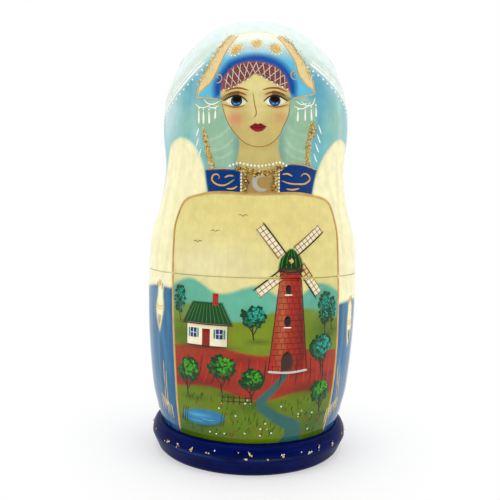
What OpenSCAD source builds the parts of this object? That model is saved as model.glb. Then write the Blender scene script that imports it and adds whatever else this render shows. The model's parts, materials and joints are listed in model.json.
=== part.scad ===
// Matryoshka nesting doll: a set of turned wooden dolls, each closed round the next smaller one.
// Every hollow doll is a lower half with a thin spigot rim and an upper half whose socket slides
// over that rim. The smallest doll is solid, and the largest stands in a turned plinth.
// Lengths are in millimetres. The axis of all the dolls is Z, and Z = 0 is the table.

/* [Set] */
// Number of dolls in the set, the solid one included
doll_count = 7; // [3:1:7]
// Floors, rims and headroom of each doll as a share of those of the doll round it
step = 0.79; // [0.7:0.01:0.85]
// Radial gap between the largest hollow and the doll inside it, in proportion on the others
nest_gap = 1.6; // [0.6:0.1:2.5]

/* [Figure, heights above the foot of the largest doll] */
// Height of the figure from its foot to its crown
figure_h = 167; // [160:1:190]
// Radius of the straight foot
foot_r = 36.6; // [34:0.1:38]
// Height of the straight foot
foot_h = 4; // [2:0.5:6]
// Bevel round the edge of the foot
foot_bevel = 0.8; // [0.2:0.1:1.5]
// Radius where the flare above the foot ends
flare_r = 37.9; // [36.5:0.1:39.5]
// Height where the flare above the foot ends
flare_z = 8; // [7:0.5:11]
// Radius of the hip
hip_r = 40.5; // [39:0.1:42]
// Height of the hip
hip_z = 19; // [15:0.5:26]
// Radius of the belly, the widest part
belly_r = 42.75; // [42:0.05:46]
// Height of the belly
belly_z = 47; // [40:0.5:56]
// Radius of the shoulder
shoulder_r = 42.3; // [41.5:0.1:43.5]
// Height of the shoulder
shoulder_z = 78; // [75:0.5:82]
// Radius halfway down from the shoulder to the neck
collar_r = 39; // [38:0.1:40.5]
// Height halfway from the shoulder to the neck
collar_z = 91; // [88:0.5:95]
// Radius of the neck, the narrowest part of the upper half
neck_r = 36.8; // [35.5:0.1:38]
// Height of the neck
neck_z = 106; // [101:0.5:111]
// Radius of the head at the brow
brow_r = 37.95; // [36.5:0.05:39.5]
// Height of the brow
brow_z = 123; // [118:0.5:128]
// Fullness of the dome of the head: 2 is an ellipse, and more is squarer
dome_power = 2.15; // [1.9:0.05:2.6]

/* [Shells of the largest doll] */
// Height of the seam above the foot
seam_z = 66; // [58:0.5:67]
// Width of the bevel on each edge of the seam
seam_bevel = 0.35; // [0.1:0.05:0.8]
// Thickness of the floor of the lower half
floor_t = 9; // [5:0.5:12]
// Height of the spigot rim above the seam
spigot_h = 11; // [7:0.5:13]
// Wall of the spigot rim, and the least wall of a shell
spigot_wall = 3; // [2:0.1:4]
// Bevel on both top edges of the spigot rim
spigot_bevel = 0.8; // [0.2:0.1:0.9]
// Wall of the upper half round the spigot, where it is thinnest
socket_wall = 3.4; // [2.5:0.1:4.5]
// Radial running clearance between spigot and socket, the same on every doll
fit_gap = 0.05; // [0.03:0.01:0.09]
// Room in the socket above the end of the spigot
socket_end_gap = 0.6; // [0.2:0.1:1.5]
// Lead-in bevel at the mouth of the socket
socket_bevel = 0.6; // [0.2:0.1:1]
// Thickness of the wood over the hollow of the head
crown_wall = 11; // [7:0.5:14]
// Free height in the head above the crown of the next doll
headroom = 14; // [8:0.5:18]

/* [Plinth] */
// Thickness of the plinth under the foot
plinth_floor = 8; // [5:0.5:14]
// Height of the bevel at the table
plinth_bevel = 1.2; // [0.4:0.1:2]
// How far the arris, where the plinth is widest, stands out past the lip
plinth_swell = 2.8; // [2:0.1:6]
// How far the side draws in from the arris to the table
plinth_taper = 2.4; // [1:0.1:4]
// Height of the arris where the plinth is widest
plinth_edge_z = 6.5; // [4:0.5:9]
// Width of the flat lip round the recess
lip_w = 0.8; // [0.4:0.1:1.5]
// Radial glue gap between the foot and the recess
glue_gap = 0.1; // [0.05:0.01:0.3]

/* [Colours] */
// Painted veil and head of the upper halves
veil_colour = "#86BFB8";
// Painted skirt of the lower halves
skirt_colour = "#3F74A8";
// Painted plinth
plinth_colour = "#14205E";

/* [Hidden] */
ORDINALS = ["first", "second", "third", "fourth", "fifth", "sixth", "seventh"];
hollow_count = doll_count - 1;

// Facets of a preview turn, samples in each stretch of the side, and samples in a dome
turn_fn = 96;
side_steps = 5;
dome_steps = 14;
// How far a cutting shape runs past the face it opens
overcut = 1;
plinth_h = plinth_floor + foot_h;

function lower_name(i) = str(ORDINALS[i], "_doll_lower");
function upper_name(i) = str(ORDINALS[i], "_doll_upper");
function solid_name() = str(ORDINALS[hollow_count], "_doll");

// Side of the largest figure: stations of radius and height, joined by a smooth cubic curve
stations = [
    [foot_r, foot_h],
    [flare_r, flare_z],
    [hip_r, hip_z],
    [belly_r, belly_z],
    [shoulder_r, shoulder_z],
    [collar_r, collar_z],
    [neck_r, neck_z],
    [brow_r, brow_z]
];
last_station = len(stations) - 1;

// Slope of the side at a station: one-sided at the foot, upright at the brow
function slope(k) =
    k == last_station ? 0 :
    let (a = stations[max(k - 1, 0)], b = stations[k + 1])
    (b.x - a.x) / (b.y - a.y);

// Point at share t of the stretch that starts at station k
function side_point(k, t) =
    let (a = stations[k], b = stations[k + 1], h = b.y - a.y)
    [
        a.x * (2 * t ^ 3 - 3 * t ^ 2 + 1) + b.x * (3 * t ^ 2 - 2 * t ^ 3)
            + h * (slope(k) * (t ^ 3 - 2 * t ^ 2 + t) + slope(k + 1) * (t ^ 3 - t ^ 2)),
        a.y + h * t
    ];

// Radius of the largest figure's side at height z
function side_r(z) =
    let (k = max([for (j = [0 : last_station - 1]) if (stations[j].y <= z) j]))
    side_point(k, (z - stations[k].y) / (stations[k + 1].y - stations[k].y)).x;

// Points of a dome of radius r and height h that springs from height z
function dome(r, h, z) = [
    for (j = [1 : dome_steps])
    let (a = 90 * j / dome_steps)
    [j == dome_steps ? 0 : r * cos(a) ^ (2 / dome_power), z + h * sin(a) ^ (2 / dome_power)]
];

side_points = [
    for (k = [0 : last_station - 1], j = [0 : side_steps - 1]) side_point(k, j / side_steps),
    stations[last_station]
];

// A height of the largest doll's floor, rim or headroom, as it is on doll i
function of_doll(size, i) = size * step ^ i;

// Heights of doll i: each stands on the floor of the doll round it, under its headroom
function foot(i) = i == 0 ? plinth_floor : foot(i - 1) + of_doll(floor_t, i - 1);
function crown(i) = i == 0 ? plinth_floor + figure_h : ceiling(i - 1) - of_doll(headroom, i - 1);
function ceiling(i) = crown(i) - of_doll(crown_wall, i);
function tall(i) = (crown(i) - foot(i)) / figure_h;
function seam(i) = foot(i) + seam_z * tall(i);
function rim(i) = seam(i) + of_doll(spigot_h, i);

// Radius of the largest figure that has to pass a height of the hollow round it when the halves part
widest_r = max([for (p = side_points) p.x]);
function passes(z, lower) = max([for (p = side_points) if (lower ? p.y <= z : p.y >= z) p.x]);

// Least radius of doll i's outside along its socket, as it would be on the largest figure
function thinnest_r(i) =
    let (h = of_doll(spigot_h + socket_end_gap, i) / tall(i))
    min([for (t = [0 : 1 / side_steps : 1]) side_r(seam_z + h * t)]);

// Width of the doll inside doll i of width w: it clears the mouth, and the wall round it stays
function next_wide(i, w) =
    let (
        mouth = w * (thinnest_r(i) - socket_wall - spigot_wall - nest_gap) - fit_gap,
        rooms = [
            for (p = side_points)
            let (z = (foot(i) + p.y * tall(i) - foot(i + 1)) / tall(i + 1))
            if (z > foot_h && z < brow_z)
            w * (p.x - spigot_wall - nest_gap) / passes(z, p.y < seam_z)
        ]
    )
    min(mouth / widest_r, min(rooms));
widths = [for (i = 0, w = 1; i < doll_count; w = next_wide(i, w), i = i + 1) w];
function wide(i) = widths[i];

// Radii of doll i: walls and gaps are in proportion to its width
function seam_r(i) = side_r(seam_z) * wide(i);
function socket_r(i) = (thinnest_r(i) - socket_wall) * wide(i);
function spigot_r(i) = socket_r(i) - fit_gap;
function mouth_r(i) = spigot_r(i) - spigot_wall * wide(i);
function hollow_gap(i) = nest_gap * wide(i);

// A point of the largest figure as it lies on doll i
function on_doll(p, i) = [p.x * wide(i), foot(i) + p.y * tall(i)];

// The hollow that doll i needs: its side, widened by the gap, with no narrow place on the way out
function hollow(i, gap, lower) = [
    for (p = side_points)
    on_doll([passes(p.y, lower), p.y], i) + [gap, 0]
];

// Half section of the whole figure of doll i
module figure_section(i) {
    base = [[0, 0], [foot_r - foot_bevel, 0], [foot_r, foot_bevel]];
    outline = concat(base, side_points, dome(brow_r, figure_h - brow_z, brow_z));
    polygon([for (p = outline) on_doll(p, i)]);
}

// Half section of the V groove that the two bevels leave at the seam of doll i
module seam_groove(i) {
    b = seam_bevel * wide(i);
    translate([seam_r(i), seam(i)])
        polygon([[-b, 0], [b, -2 * b], [b, 2 * b]]);
}

// Half section of the spigot rim of doll i, rooted below the seam
module spigot_section(i) {
    r = spigot_r(i);
    b = spigot_bevel * wide(i);
    root = seam(i) - of_doll(spigot_h, i);
    polygon([
        [mouth_r(i) - overcut, root],
        [r, root],
        [r, rim(i) - b],
        [r - b, rim(i)],
        [mouth_r(i) - overcut, rim(i)]
    ]);
}

// Half section of the hollow of the lower half of doll i, which ends in a bevelled mouth
module lower_hollow(i) {
    gap = hollow_gap(i);
    b = spigot_bevel * wide(i);
    seat_r = foot_r * wide(i + 1) + gap;
    outline = concat(
        [[0, foot(i + 1)], [seat_r, foot(i + 1)]],
        [for (p = hollow(i + 1, gap, true)) if (p.y < seam(i)) p],
        [
            [mouth_r(i), seam(i)],
            [mouth_r(i), rim(i) - b],
            [mouth_r(i) + b + overcut, rim(i) + overcut],
            [0, rim(i) + overcut]
        ]
    );
    polygon(outline);
}

// Half section of the hollow of the upper half of doll i: the socket, then the next doll's room
module upper_hollow(i) {
    gap = hollow_gap(i);
    b = socket_bevel * wide(i);
    r = socket_r(i);
    socket_end = rim(i) + of_doll(socket_end_gap, i);
    next_brow = foot(i + 1) + brow_z * tall(i + 1);
    polygon([
        [0, seam(i) - overcut],
        [r + b + overcut, seam(i) - overcut],
        [r, seam(i) + b],
        [r, socket_end],
        [0, socket_end]
    ]);
    polygon(concat(
        [[0, seam(i)], [mouth_r(i), seam(i)]],
        [for (p = hollow(i + 1, gap, false)) if (p.y > seam(i)) p],
        dome(brow_r * wide(i + 1) + gap, ceiling(i) - next_brow, next_brow)
    ));
}

// Half plane below or above the seam of doll i
module below_seam(i) {
    square([2 * widest_r, seam(i)]);
}
module above_seam(i) {
    translate([0, seam(i)])
        square([2 * widest_r, crown(i)]);
}

// Lower half: the skirt, with its spigot rim and the hollow for the next doll
module lower_half(i) {
    color(skirt_colour)
        rotate_extrude($fn = turn_fn)
            difference() {
                union() {
                    intersection() {
                        figure_section(i);
                        below_seam(i);
                    }
                    spigot_section(i);
                }
                lower_hollow(i);
                seam_groove(i);
            }
}

// Upper half: the head and shoulders, with the socket and the hollow of the head
module upper_half(i) {
    color(veil_colour)
        rotate_extrude($fn = turn_fn)
            difference() {
                intersection() {
                    figure_section(i);
                    above_seam(i);
                }
                upper_hollow(i);
                seam_groove(i);
            }
}

// Smallest doll: one solid turning
module solid_doll() {
    color(veil_colour)
        rotate_extrude($fn = turn_fn)
            figure_section(hollow_count);
}

// Plinth: a turned disc with a swelling side, a rounded top and a recess for the foot
module plinth() {
    recess_r = foot_r + glue_gap;
    lip_r = recess_r + lip_w;
    table_r = lip_r + plinth_swell - plinth_taper;
    shoulder = [
        for (a = [0 : 15 : 90])
        [
            lip_r + plinth_swell * cos(a),
            plinth_edge_z + (plinth_h - plinth_edge_z) * sin(a)
        ]
    ];
    color(plinth_colour)
        difference() {
            rotate_extrude($fn = turn_fn)
                polygon(concat(
                    [[0, 0], [table_r - plinth_bevel, 0], [table_r, plinth_bevel]],
                    shoulder,
                    [[0, plinth_h]]
                ));
            translate([0, 0, plinth_floor])
                cylinder(r = recess_r, h = foot_h + overcut, $fn = turn_fn);
        }
}

plinth();
for (i = [0 : hollow_count - 1]) {
    lower_half(i);
    upper_half(i);
}
solid_doll();
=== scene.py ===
"""Paints, gilds and lacquers a turned nesting doll, the smaller dolls inside it and its plinth.

Each doll is a canvas wrapped round a turned side. A place on it has two numbers in millimetres of the
largest doll: u runs along the girth from the middle of the front, to the viewer's right, and v runs up
the side from the seam. The same painting then fits every doll of the set. Each half of a doll gets a
thin coat of paint over its CAD wood, and marks of the brush, gilding, pearls and glitter on that coat.
"""

import json
from types import SimpleNamespace

import bpy
import numpy as np
from bpy.props import FloatProperty, FloatVectorProperty, IntProperty, PointerProperty
from bpy.types import NodeSocket, Operator, Panel, PropertyGroup
from mathutils import Matrix, Vector


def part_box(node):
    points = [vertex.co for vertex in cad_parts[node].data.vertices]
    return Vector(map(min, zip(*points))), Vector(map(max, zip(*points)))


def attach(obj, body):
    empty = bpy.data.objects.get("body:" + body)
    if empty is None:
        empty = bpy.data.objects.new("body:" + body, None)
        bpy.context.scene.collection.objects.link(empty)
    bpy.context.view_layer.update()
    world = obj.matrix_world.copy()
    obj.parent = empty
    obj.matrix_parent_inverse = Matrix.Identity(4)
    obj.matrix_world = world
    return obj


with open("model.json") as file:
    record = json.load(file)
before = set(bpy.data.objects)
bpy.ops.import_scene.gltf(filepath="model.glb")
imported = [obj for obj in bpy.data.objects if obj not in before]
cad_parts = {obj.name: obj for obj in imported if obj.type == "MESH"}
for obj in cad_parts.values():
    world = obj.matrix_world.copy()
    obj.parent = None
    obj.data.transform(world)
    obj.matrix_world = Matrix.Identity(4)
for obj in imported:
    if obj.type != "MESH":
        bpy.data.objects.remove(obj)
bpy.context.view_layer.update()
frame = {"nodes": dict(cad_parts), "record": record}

bl_info = {
    "name": "Painted nesting doll",
    "version": (1, 0, 0),
    "blender": (4, 5, 0),
    "location": "View3D > Sidebar > Nesting doll",
    "description": "Paints, gilds and lacquers a set of turned nesting dolls on a plinth",
    "category": "Object",
}

MM = 0.001
DOLLS = ("first", "second", "third", "fourth", "fifth", "sixth", "seventh")
# Share of a doll's height below its seam, read from the largest doll
SEAM_SHARE = (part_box("first_doll_upper")[0].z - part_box("first_doll_lower")[0].z) / (
    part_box("first_doll_upper")[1].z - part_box("first_doll_lower")[0].z
)


def linear(code):
    """Linear red, green and blue of an sRGB hex colour, by the sRGB standard's own curve."""
    srgb = np.array([int(code[k : k + 2], 16) for k in (1, 3, 5)]) / 255
    value = np.where(srgb <= 0.04045, srgb / 12.92, ((srgb + 0.055) / 1.055) ** 2.4)
    return tuple(value.tolist())


def colour(name, description, code):
    """A colour that the user can change, given as an sRGB hex value."""
    return FloatVectorProperty(
        name=name, description=description, default=linear(code), subtype="COLOR", min=0, max=1
    )


def length(name, description, millimetres):
    """A length that the user can change, given in millimetres."""
    return FloatProperty(
        name=name, description=description, default=millimetres * MM, unit="LENGTH", min=0, precision=5
    )


class DollSizes(PropertyGroup):
    """Sizes of the paint and of what is laid on it."""

    coat: length("Coat", "Thickness of the coat of paint and lacquer", 0.08)
    root: length("Root", "How deep a coat or a mark reaches into what carries it", 0.25)
    relief: length("Relief", "Height of a brush mark on the largest doll", 0.07)
    row_gap: length("Row spacing", "Spacing of the coat's points up the side of the largest doll", 0.62)
    columns: IntProperty(
        name="Columns", description="Points of the coat round the largest doll", default=372, min=24
    )
    curve_gap: length("Curve spacing", "Spacing of points along a brush mark of the largest doll", 0.5)
    pearl: length("Pearl", "Radius of a lacquer pearl on the largest doll", 0.55)
    flake: length("Glitter flake", "Radius of a flake of glitter", 0.3)


class DollColours(PropertyGroup):
    """Colours of the painting."""

    veil: colour("Veil", "Teal of the veil beside the face and on the back", "#74B9BC")
    veil_pale: colour("Pale veil", "Nearly white veil over the crown", "#DCEBE6")
    veil_leaf: colour("Veil lining", "Greener teal of the veil beside the neck", "#92B89A")
    lace: colour("Lace", "White of lace, pendants and pearls", "#F6F6EE")
    headdress: colour("Headdress", "Light blue of the headdress", "#5EB8D4")
    band: colour("Band", "Deep blue of the band round the hair", "#084C9C")
    ochre: colour("Ochre", "Ochre under the gilding", "#DFBC78")
    gold: colour("Gold", "Gold bronze paint", "#E6B75A")
    gold_dark: colour("Dark gold", "Gold bronze paint where it lies thin", "#B58A38")
    hair: colour("Hair", "Auburn of the hair", "#8A4A42")
    hair_dark: colour("Dark hair", "Strands in shade", "#65302A")
    skin: colour("Skin", "Ivory of the face", "#CFBF78")
    skin_light: colour("Light skin", "Ivory where the face catches the light", "#E2D896")
    skin_dark: colour("Skin in shade", "Warm shade at the edge of the face", "#AE8E44")
    blush: colour("Blush", "Rose on the cheeks", "#C98162")
    lips: colour("Lips", "Red of the lips", "#82101C")
    iris: colour("Iris", "Blue of the eyes", "#1F66B4")
    dark: colour("Dark line", "Nearly black brown of lashes and pupils", "#1A100C")
    brown: colour("Brown line", "Brown of brows, jaw and nose", "#96561A")
    sleeve: colour("Sleeves", "Cream of the sleeves and hands", "#F2ECBC")
    sleeve_shade: colour("Sleeve folds", "Shade in the folds of the sleeves", "#CFC48E")
    strap: colour("Straps", "Deep blue of the dress over the chest", "#083474")
    skirt: colour("Skirt", "Blue of the skirt", "#1E648E")
    skirt_light: colour("Light skirt", "Lighter streaks of the skirt", "#74A4BC")
    skirt_dark: colour("Dark skirt", "Darker streaks of the skirt", "#163F74")
    plinth: colour("Plinth", "Navy lacquer of the plinth", "#020A40")
    wood: colour("Linden", "Bare turned linden", "#DDBE8B")
    wood_dark: colour("Linden grain", "Darker grain of the linden", "#C29A62")


class SceneColours(PropertyGroup):
    """Colours of the country scene on the apron."""

    sky: colour("Sky", "Cream of the sky", "#DCCF84")
    cloud: colour("Clouds", "Pale cream of the clouds", "#EDE6C2")
    far_hill: colour("Far hills", "Blue-green of the farthest hills", "#5FAE94")
    hill: colour("Hills", "Yellow-green of the nearer hills", "#74890C")
    field: colour("Field", "Red earth of the ploughed field", "#A22C16")
    furrow: colour("Furrows", "Dark red between the furrows", "#5A120A")
    meadow: colour("Meadow", "Yellow-green of the meadow", "#637C04")
    grass: colour("Grass", "Darker green of grass", "#2F5404")
    path: colour("Path", "Grey-teal of the path", "#2C625E")
    pond: colour("Pond", "Blue of the pond", "#2A78A8")
    brick: colour("Brick", "Red brick of the mill", "#A8240E")
    roof: colour("Roof", "Dark green of roofs and leaves in shade", "#0A3E1E")
    teal: colour("Teal leaves", "Teal of leaves", "#1FA08A")
    leaf: colour("Leaves", "Bright green of leaves", "#3E9A18")
    trunk: colour("Trunks", "Dark brown of trunks, beams and fences", "#3B2415")


class StageSettings(PropertyGroup):
    """Camera, light and floor."""

    camera: FloatVectorProperty(
        name="Camera",
        description="Place of the camera in front of the doll",
        default=(-1.154 * MM, -265.2 * MM, 95.0 * MM),
        subtype="TRANSLATION",
        precision=4,
    )
    pitch: FloatProperty(
        name="Pitch", description="How far the camera looks down", default=0.04985, subtype="ANGLE"
    )
    roll: FloatProperty(
        name="Roll", description="How far the camera leans to its left", default=0.0236, subtype="ANGLE"
    )
    lens: FloatProperty(
        name="Lens", description="Focal length in millimetres on a sensor 36 mm wide", default=45.3, min=1
    )
    light: FloatProperty(
        name="Surroundings", description="Light of the white surroundings on the doll", default=0.64, min=0
    )
    room: FloatProperty(
        name="Room in front", description="How bright the room behind the camera mirrors", default=0.12, min=0
    )
    top_lamp: FloatProperty(
        name="Top lamp", description="Power of the soft lamp overhead", default=27, unit="POWER", min=0
    )
    side_lamp: FloatProperty(
        name="Side lamps", description="Power of each lamp beside the doll", default=22, unit="POWER", min=0
    )
    floor: colour("Floor", "Pale floor that the doll stands on", "#F7F7F7")


def inks(*groups):
    """The user's colours as arrays, by name."""
    return SimpleNamespace(
        **{name: np.array(getattr(group, name)) for group in groups for name in group.__annotations__}
    )


# Curves

CURVE_STEPS = 12  # fine steps in each stretch of a curve before it is spaced evenly


def even(curve, gap):
    """The same line with points about gap apart, found by its running length."""
    run = np.concatenate([[0], np.cumsum(np.linalg.norm(np.diff(curve, axis=0), axis=1))])
    at = np.linspace(0, run[-1], max(2, int(np.ceil(run[-1] / gap)) + 1))
    return np.column_stack([np.interp(at, run, curve[:, k]) for k in range(curve.shape[1])])


def smooth(points, gap, closed=False, after=None):
    """Points about gap apart on the curve through a few points.

    Each stretch is a cubic, and its slope at a point is that of the parabola through the point and its
    two neighbours. after is a point beyond the end that only bends the last stretch.
    """
    p = np.asarray(points, float)
    if closed:
        p = np.vstack([p[-1], p, p[0], p[1]])
    else:
        p = np.vstack([2 * p[0] - p[1], p, 2 * p[-1] - p[-2] if after is None else after])
    step = np.diff(p, axis=0)
    h = np.linalg.norm(step, axis=1)[:, None]
    slope = step / h
    slope = (slope[1:] * h[:-1] + slope[:-1] * h[1:]) / (h[1:] + h[:-1])
    a, b, h = p[1:-2, None], p[2:-1, None], h[1:-1, None]
    t = np.linspace(0, 1, CURVE_STEPS, endpoint=False)[None, :, None]
    curve = (
        a * (2 * t**3 - 3 * t**2 + 1)
        + b * (3 * t**2 - 2 * t**3)
        + h * slope[:-1, None] * (t**3 - 2 * t**2 + t)
        + h * slope[1:, None] * (t**3 - t**2)
    )
    return even(np.vstack([curve.reshape(-1, 2), p[-2]]), gap)


def joined(*curves, gap=0.8):
    """One closed outline from curves that meet at corners.

    A curve that doesn't start where the last one ends is led on from there, and a straight line closes
    the outline.
    """
    parts = []
    end = curves[0][0]
    for curve in (*curves, curves[0][:1]):
        points = np.array(curve if curve[0] == end else (end, *curve), float)
        end = curve[-1]
        if len(points) > 1:
            parts.append(smooth(points, gap) if len(points) > 2 else even(points, gap))
    return np.vstack(parts)


def ellipse(u, v, half_u, half_v, turn=0.0, count=28):
    """Outline of an ellipse about a place, turned by an angle in radians."""
    a = np.linspace(0, 2 * np.pi, count, endpoint=False)
    x, y = half_u * np.cos(a), half_v * np.sin(a)
    return np.column_stack([u + x * np.cos(turn) - y * np.sin(turn), v + x * np.sin(turn) + y * np.cos(turn)])


def strip(path, widths, gap=0.8):
    """Outline of a band along a path, whose width runs through the given widths."""
    line = smooth(path, gap)
    along = np.gradient(line, axis=0)
    across = np.column_stack([-along[:, 1], along[:, 0]]) / np.linalg.norm(along, axis=1)[:, None]
    share = np.linspace(0, 1, len(line))
    half = np.interp(share, np.linspace(0, 1, len(widths)), widths)[:, None] / 2
    return np.vstack([line + half * across, (line - half * across)[::-1]])


# Turned sides read from the CAD frame

MERGE = 0.02 * MM  # points of a section nearer than this are one
STRAIGHT = np.radians(0.12)  # a section that turns less than this at a point runs straight there
CORNER = np.radians(14)  # and one that turns more has a corner there


def turns(section):
    """How far a section turns at each of its inner points, in radians."""
    way = np.arctan2(*np.diff(section, axis=0).T[::-1])
    return np.abs((np.diff(way) + np.pi) % (2 * np.pi) - np.pi)


def outer_side(node, pivot_z, half):
    """Outside of a turned CAD node as radius and height, from low to high.

    A face is on the outside when it looks away from the point at height pivot_z on the axis. half is -1
    or 1 to keep only what lies below or above that height, and 0 to keep both. Points inside a straight
    run are dropped, so that a curve can be laid through the section's own corners.
    """
    mesh = frame["nodes"][node].data
    mesh.calc_loop_triangles()
    points = np.empty(len(mesh.vertices) * 3, np.float32)
    mesh.vertices.foreach_get("co", points)
    corners = np.empty(len(mesh.loop_triangles) * 3, np.int32)
    mesh.loop_triangles.foreach_get("vertices", corners)
    faces = points.reshape(-1, 3).astype(float)[corners.reshape(-1, 3)]
    normals = np.cross(faces[:, 1] - faces[:, 0], faces[:, 2] - faces[:, 0])
    normals /= np.linalg.norm(normals, axis=1)[:, None] + 1e-15
    away = np.einsum("ij,ij->i", normals, faces.mean(1) - (0, 0, pivot_z))
    kept = (away > MM) & ((faces[:, :, 2] - pivot_z) * half > -MERGE).all(1)
    spots = faces[kept].reshape(-1, 3)
    section = np.column_stack([np.hypot(spots[:, 0], spots[:, 1]), spots[:, 2]])
    section = section[np.argsort(np.arctan2(section[:, 1] - pivot_z, section[:, 0]))]
    apart = np.linalg.norm(np.diff(section, axis=0), axis=1) > MERGE
    section = section[np.concatenate([[True], apart])]
    return section[np.concatenate([[True], turns(section) > STRAIGHT, [True]])]


def dense_side(section, gap):
    """Points about gap apart along a section: smooth between its corners, and level on the axis."""
    bends = np.flatnonzero(turns(section) > CORNER) + 1
    ends = np.concatenate([[0], bends, [len(section) - 1]])
    on_axis = section[-1, 0] < MERGE
    parts = []
    for first, last in zip(ends[:-1], ends[1:]):
        stretch = section[first : last + 1]
        after = stretch[-2] * (-1, 1) if on_axis and last == ends[-1] else None
        parts.append(smooth(stretch, gap, after=after)[0 if first == 0 else 1 :])
    return np.vstack(parts)


def outward(side):
    """Unit normals of a side that runs from low to high."""
    along = np.gradient(side, axis=0)
    return np.column_stack([along[:, 1], -along[:, 0]]) / np.linalg.norm(along, axis=1)[:, None]


# Meshes


def new_piece(name, points, faces, body, material, paint=None, places=None):
    """A mesh object of points in metres and arrays of triangles or quads, which rides on a CAD body.

    paint is a linear colour for each point, and places a map of two numbers for each corner.
    """
    corners = np.concatenate([f.ravel() for f in faces])
    sizes = np.concatenate([np.full(len(f), f.shape[1]) for f in faces])
    mesh = bpy.data.meshes.new(name)
    mesh.vertices.add(len(points))
    mesh.vertices.foreach_set("co", points.astype(np.float32).ravel())
    mesh.loops.add(len(corners))
    mesh.loops.foreach_set("vertex_index", corners.astype(np.int32))
    mesh.polygons.add(len(sizes))
    mesh.polygons.foreach_set("loop_start", (np.cumsum(sizes) - sizes).astype(np.int32))
    mesh.update(calc_edges=True)
    if mesh.validate():
        raise RuntimeError(f"{name} has faces that don't hold")
    if paint is not None:
        rgba = np.column_stack([paint, np.ones(len(paint))]).astype(np.float32)
        mesh.color_attributes.new("paint", "FLOAT_COLOR", "POINT").data.foreach_set("color", rgba.ravel())
    if places is not None:
        layer = mesh.uv_layers.new(name="OFBake", do_init=False)
        layer.uv.foreach_set("vector", places.astype(np.float32).ravel())
    mesh.materials.append(material)
    piece = bpy.data.objects.new(name, mesh)
    bpy.context.scene.collection.objects.link(piece)
    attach(piece, body)
    return piece


def front_angles(count):
    """Angles round the axis from the back, 0 at the front, where they lie closest.

    The angle is half a turn times 0.6 t + 0.4 t cubed, with t from -1 to 1.
    """
    t = np.linspace(-1, 1, count, endpoint=False)
    return np.pi * (0.6 * t + 0.4 * t**3)


# Canvases


class Canvas:
    """Outside of a doll, or of the plinth, as a sheet to paint on."""

    def __init__(self, nodes, seam, slots):
        sizes = bpy.context.scene.doll_sizes
        bodies = frame["record"]["behaviour"]["bodies"]
        widest = max(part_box(node)[1].x for node in nodes)
        self.scale = widest / max(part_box("first_doll_lower")[1].x, widest)
        gap = sizes.row_gap * self.scale**0.5  # fewer rows on smaller dolls
        self.halves = []
        for node, slot in zip(nodes, slots):
            low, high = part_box(node)
            half = 0 if len(nodes) == 1 else (-1 if low.z < seam - MM else 1)
            side = dense_side(outer_side(node, seam, half), gap)
            limits = (low.z, seam if half < 0 else high.z + sizes.coat)
            body = next(b for b, members in bodies.items() if node in members)
            self.halves.append(
                SimpleNamespace(node=node, slot=slot, half=half, side=side, limits=limits, body=body)
            )
        whole = np.vstack([h.side for h in self.halves])
        if len(nodes) > 1:
            whole = whole[np.abs(whole[:, 1] - seam) > 2 * sizes.row_gap * self.scale]
        run = np.concatenate([[0], np.cumsum(np.linalg.norm(np.diff(whole, axis=0), axis=1))])
        run -= np.interp(seam, whole[:, 1], run)
        self.v = run / (MM * self.scale)
        self.skin = whole + outward(whole) * sizes.coat
        self.normal = outward(whole)

    def height_to_v(self, z):
        """Place up the side, in canvas millimetres, of a height in metres."""
        return np.interp(z, self.skin[:, 1], self.v)

    def back(self, v):
        """Place along the girth of the middle of the back, at some heights on the canvas."""
        return np.pi * np.interp(v, self.v, self.skin[:, 0]) / (MM * self.scale)

    def at(self, u, v, lift):
        """Points in metres of places on the canvas, lifted off the skin by metres."""
        r, z, out_r, out_z = (np.interp(v, self.v, x) for x in (*self.skin.T, *self.normal.T))
        angle = u * MM * self.scale / r
        r, z = r + lift * out_r, z + lift * out_z
        return np.column_stack([r * np.sin(angle), -r * np.cos(angle), z])


def doll_canvas(word):
    """Canvas of one doll of the set, hollow or solid."""
    if f"{word}_doll" in frame["nodes"]:
        low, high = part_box(f"{word}_doll")
        seam = low.z + SEAM_SHARE * (high.z - low.z)
        return Canvas([f"{word}_doll"], seam, ["painted_veil"])
    nodes = [f"{word}_doll_lower", f"{word}_doll_upper"]
    return Canvas(nodes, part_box(nodes[1])[0].z, ["painted_skirt", "painted_veil"])


LEAST_ROWS, LEAST_COLUMNS = 8, 96  # up the inside of a coat, and round it
# Heights on a coat's map: the outside fills it up to MAP_OUTSIDE, and thin strips above that hold the rest
MAP_OUTSIDE, MAP_CROWN, MAP_INSIDE = 0.95, 0.954, 0.97
MAP_FOOT, MAP_HEAD = (0.956, 0.96), (0.962, 0.966)  # where the inside joins the outside, below and above


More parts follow.
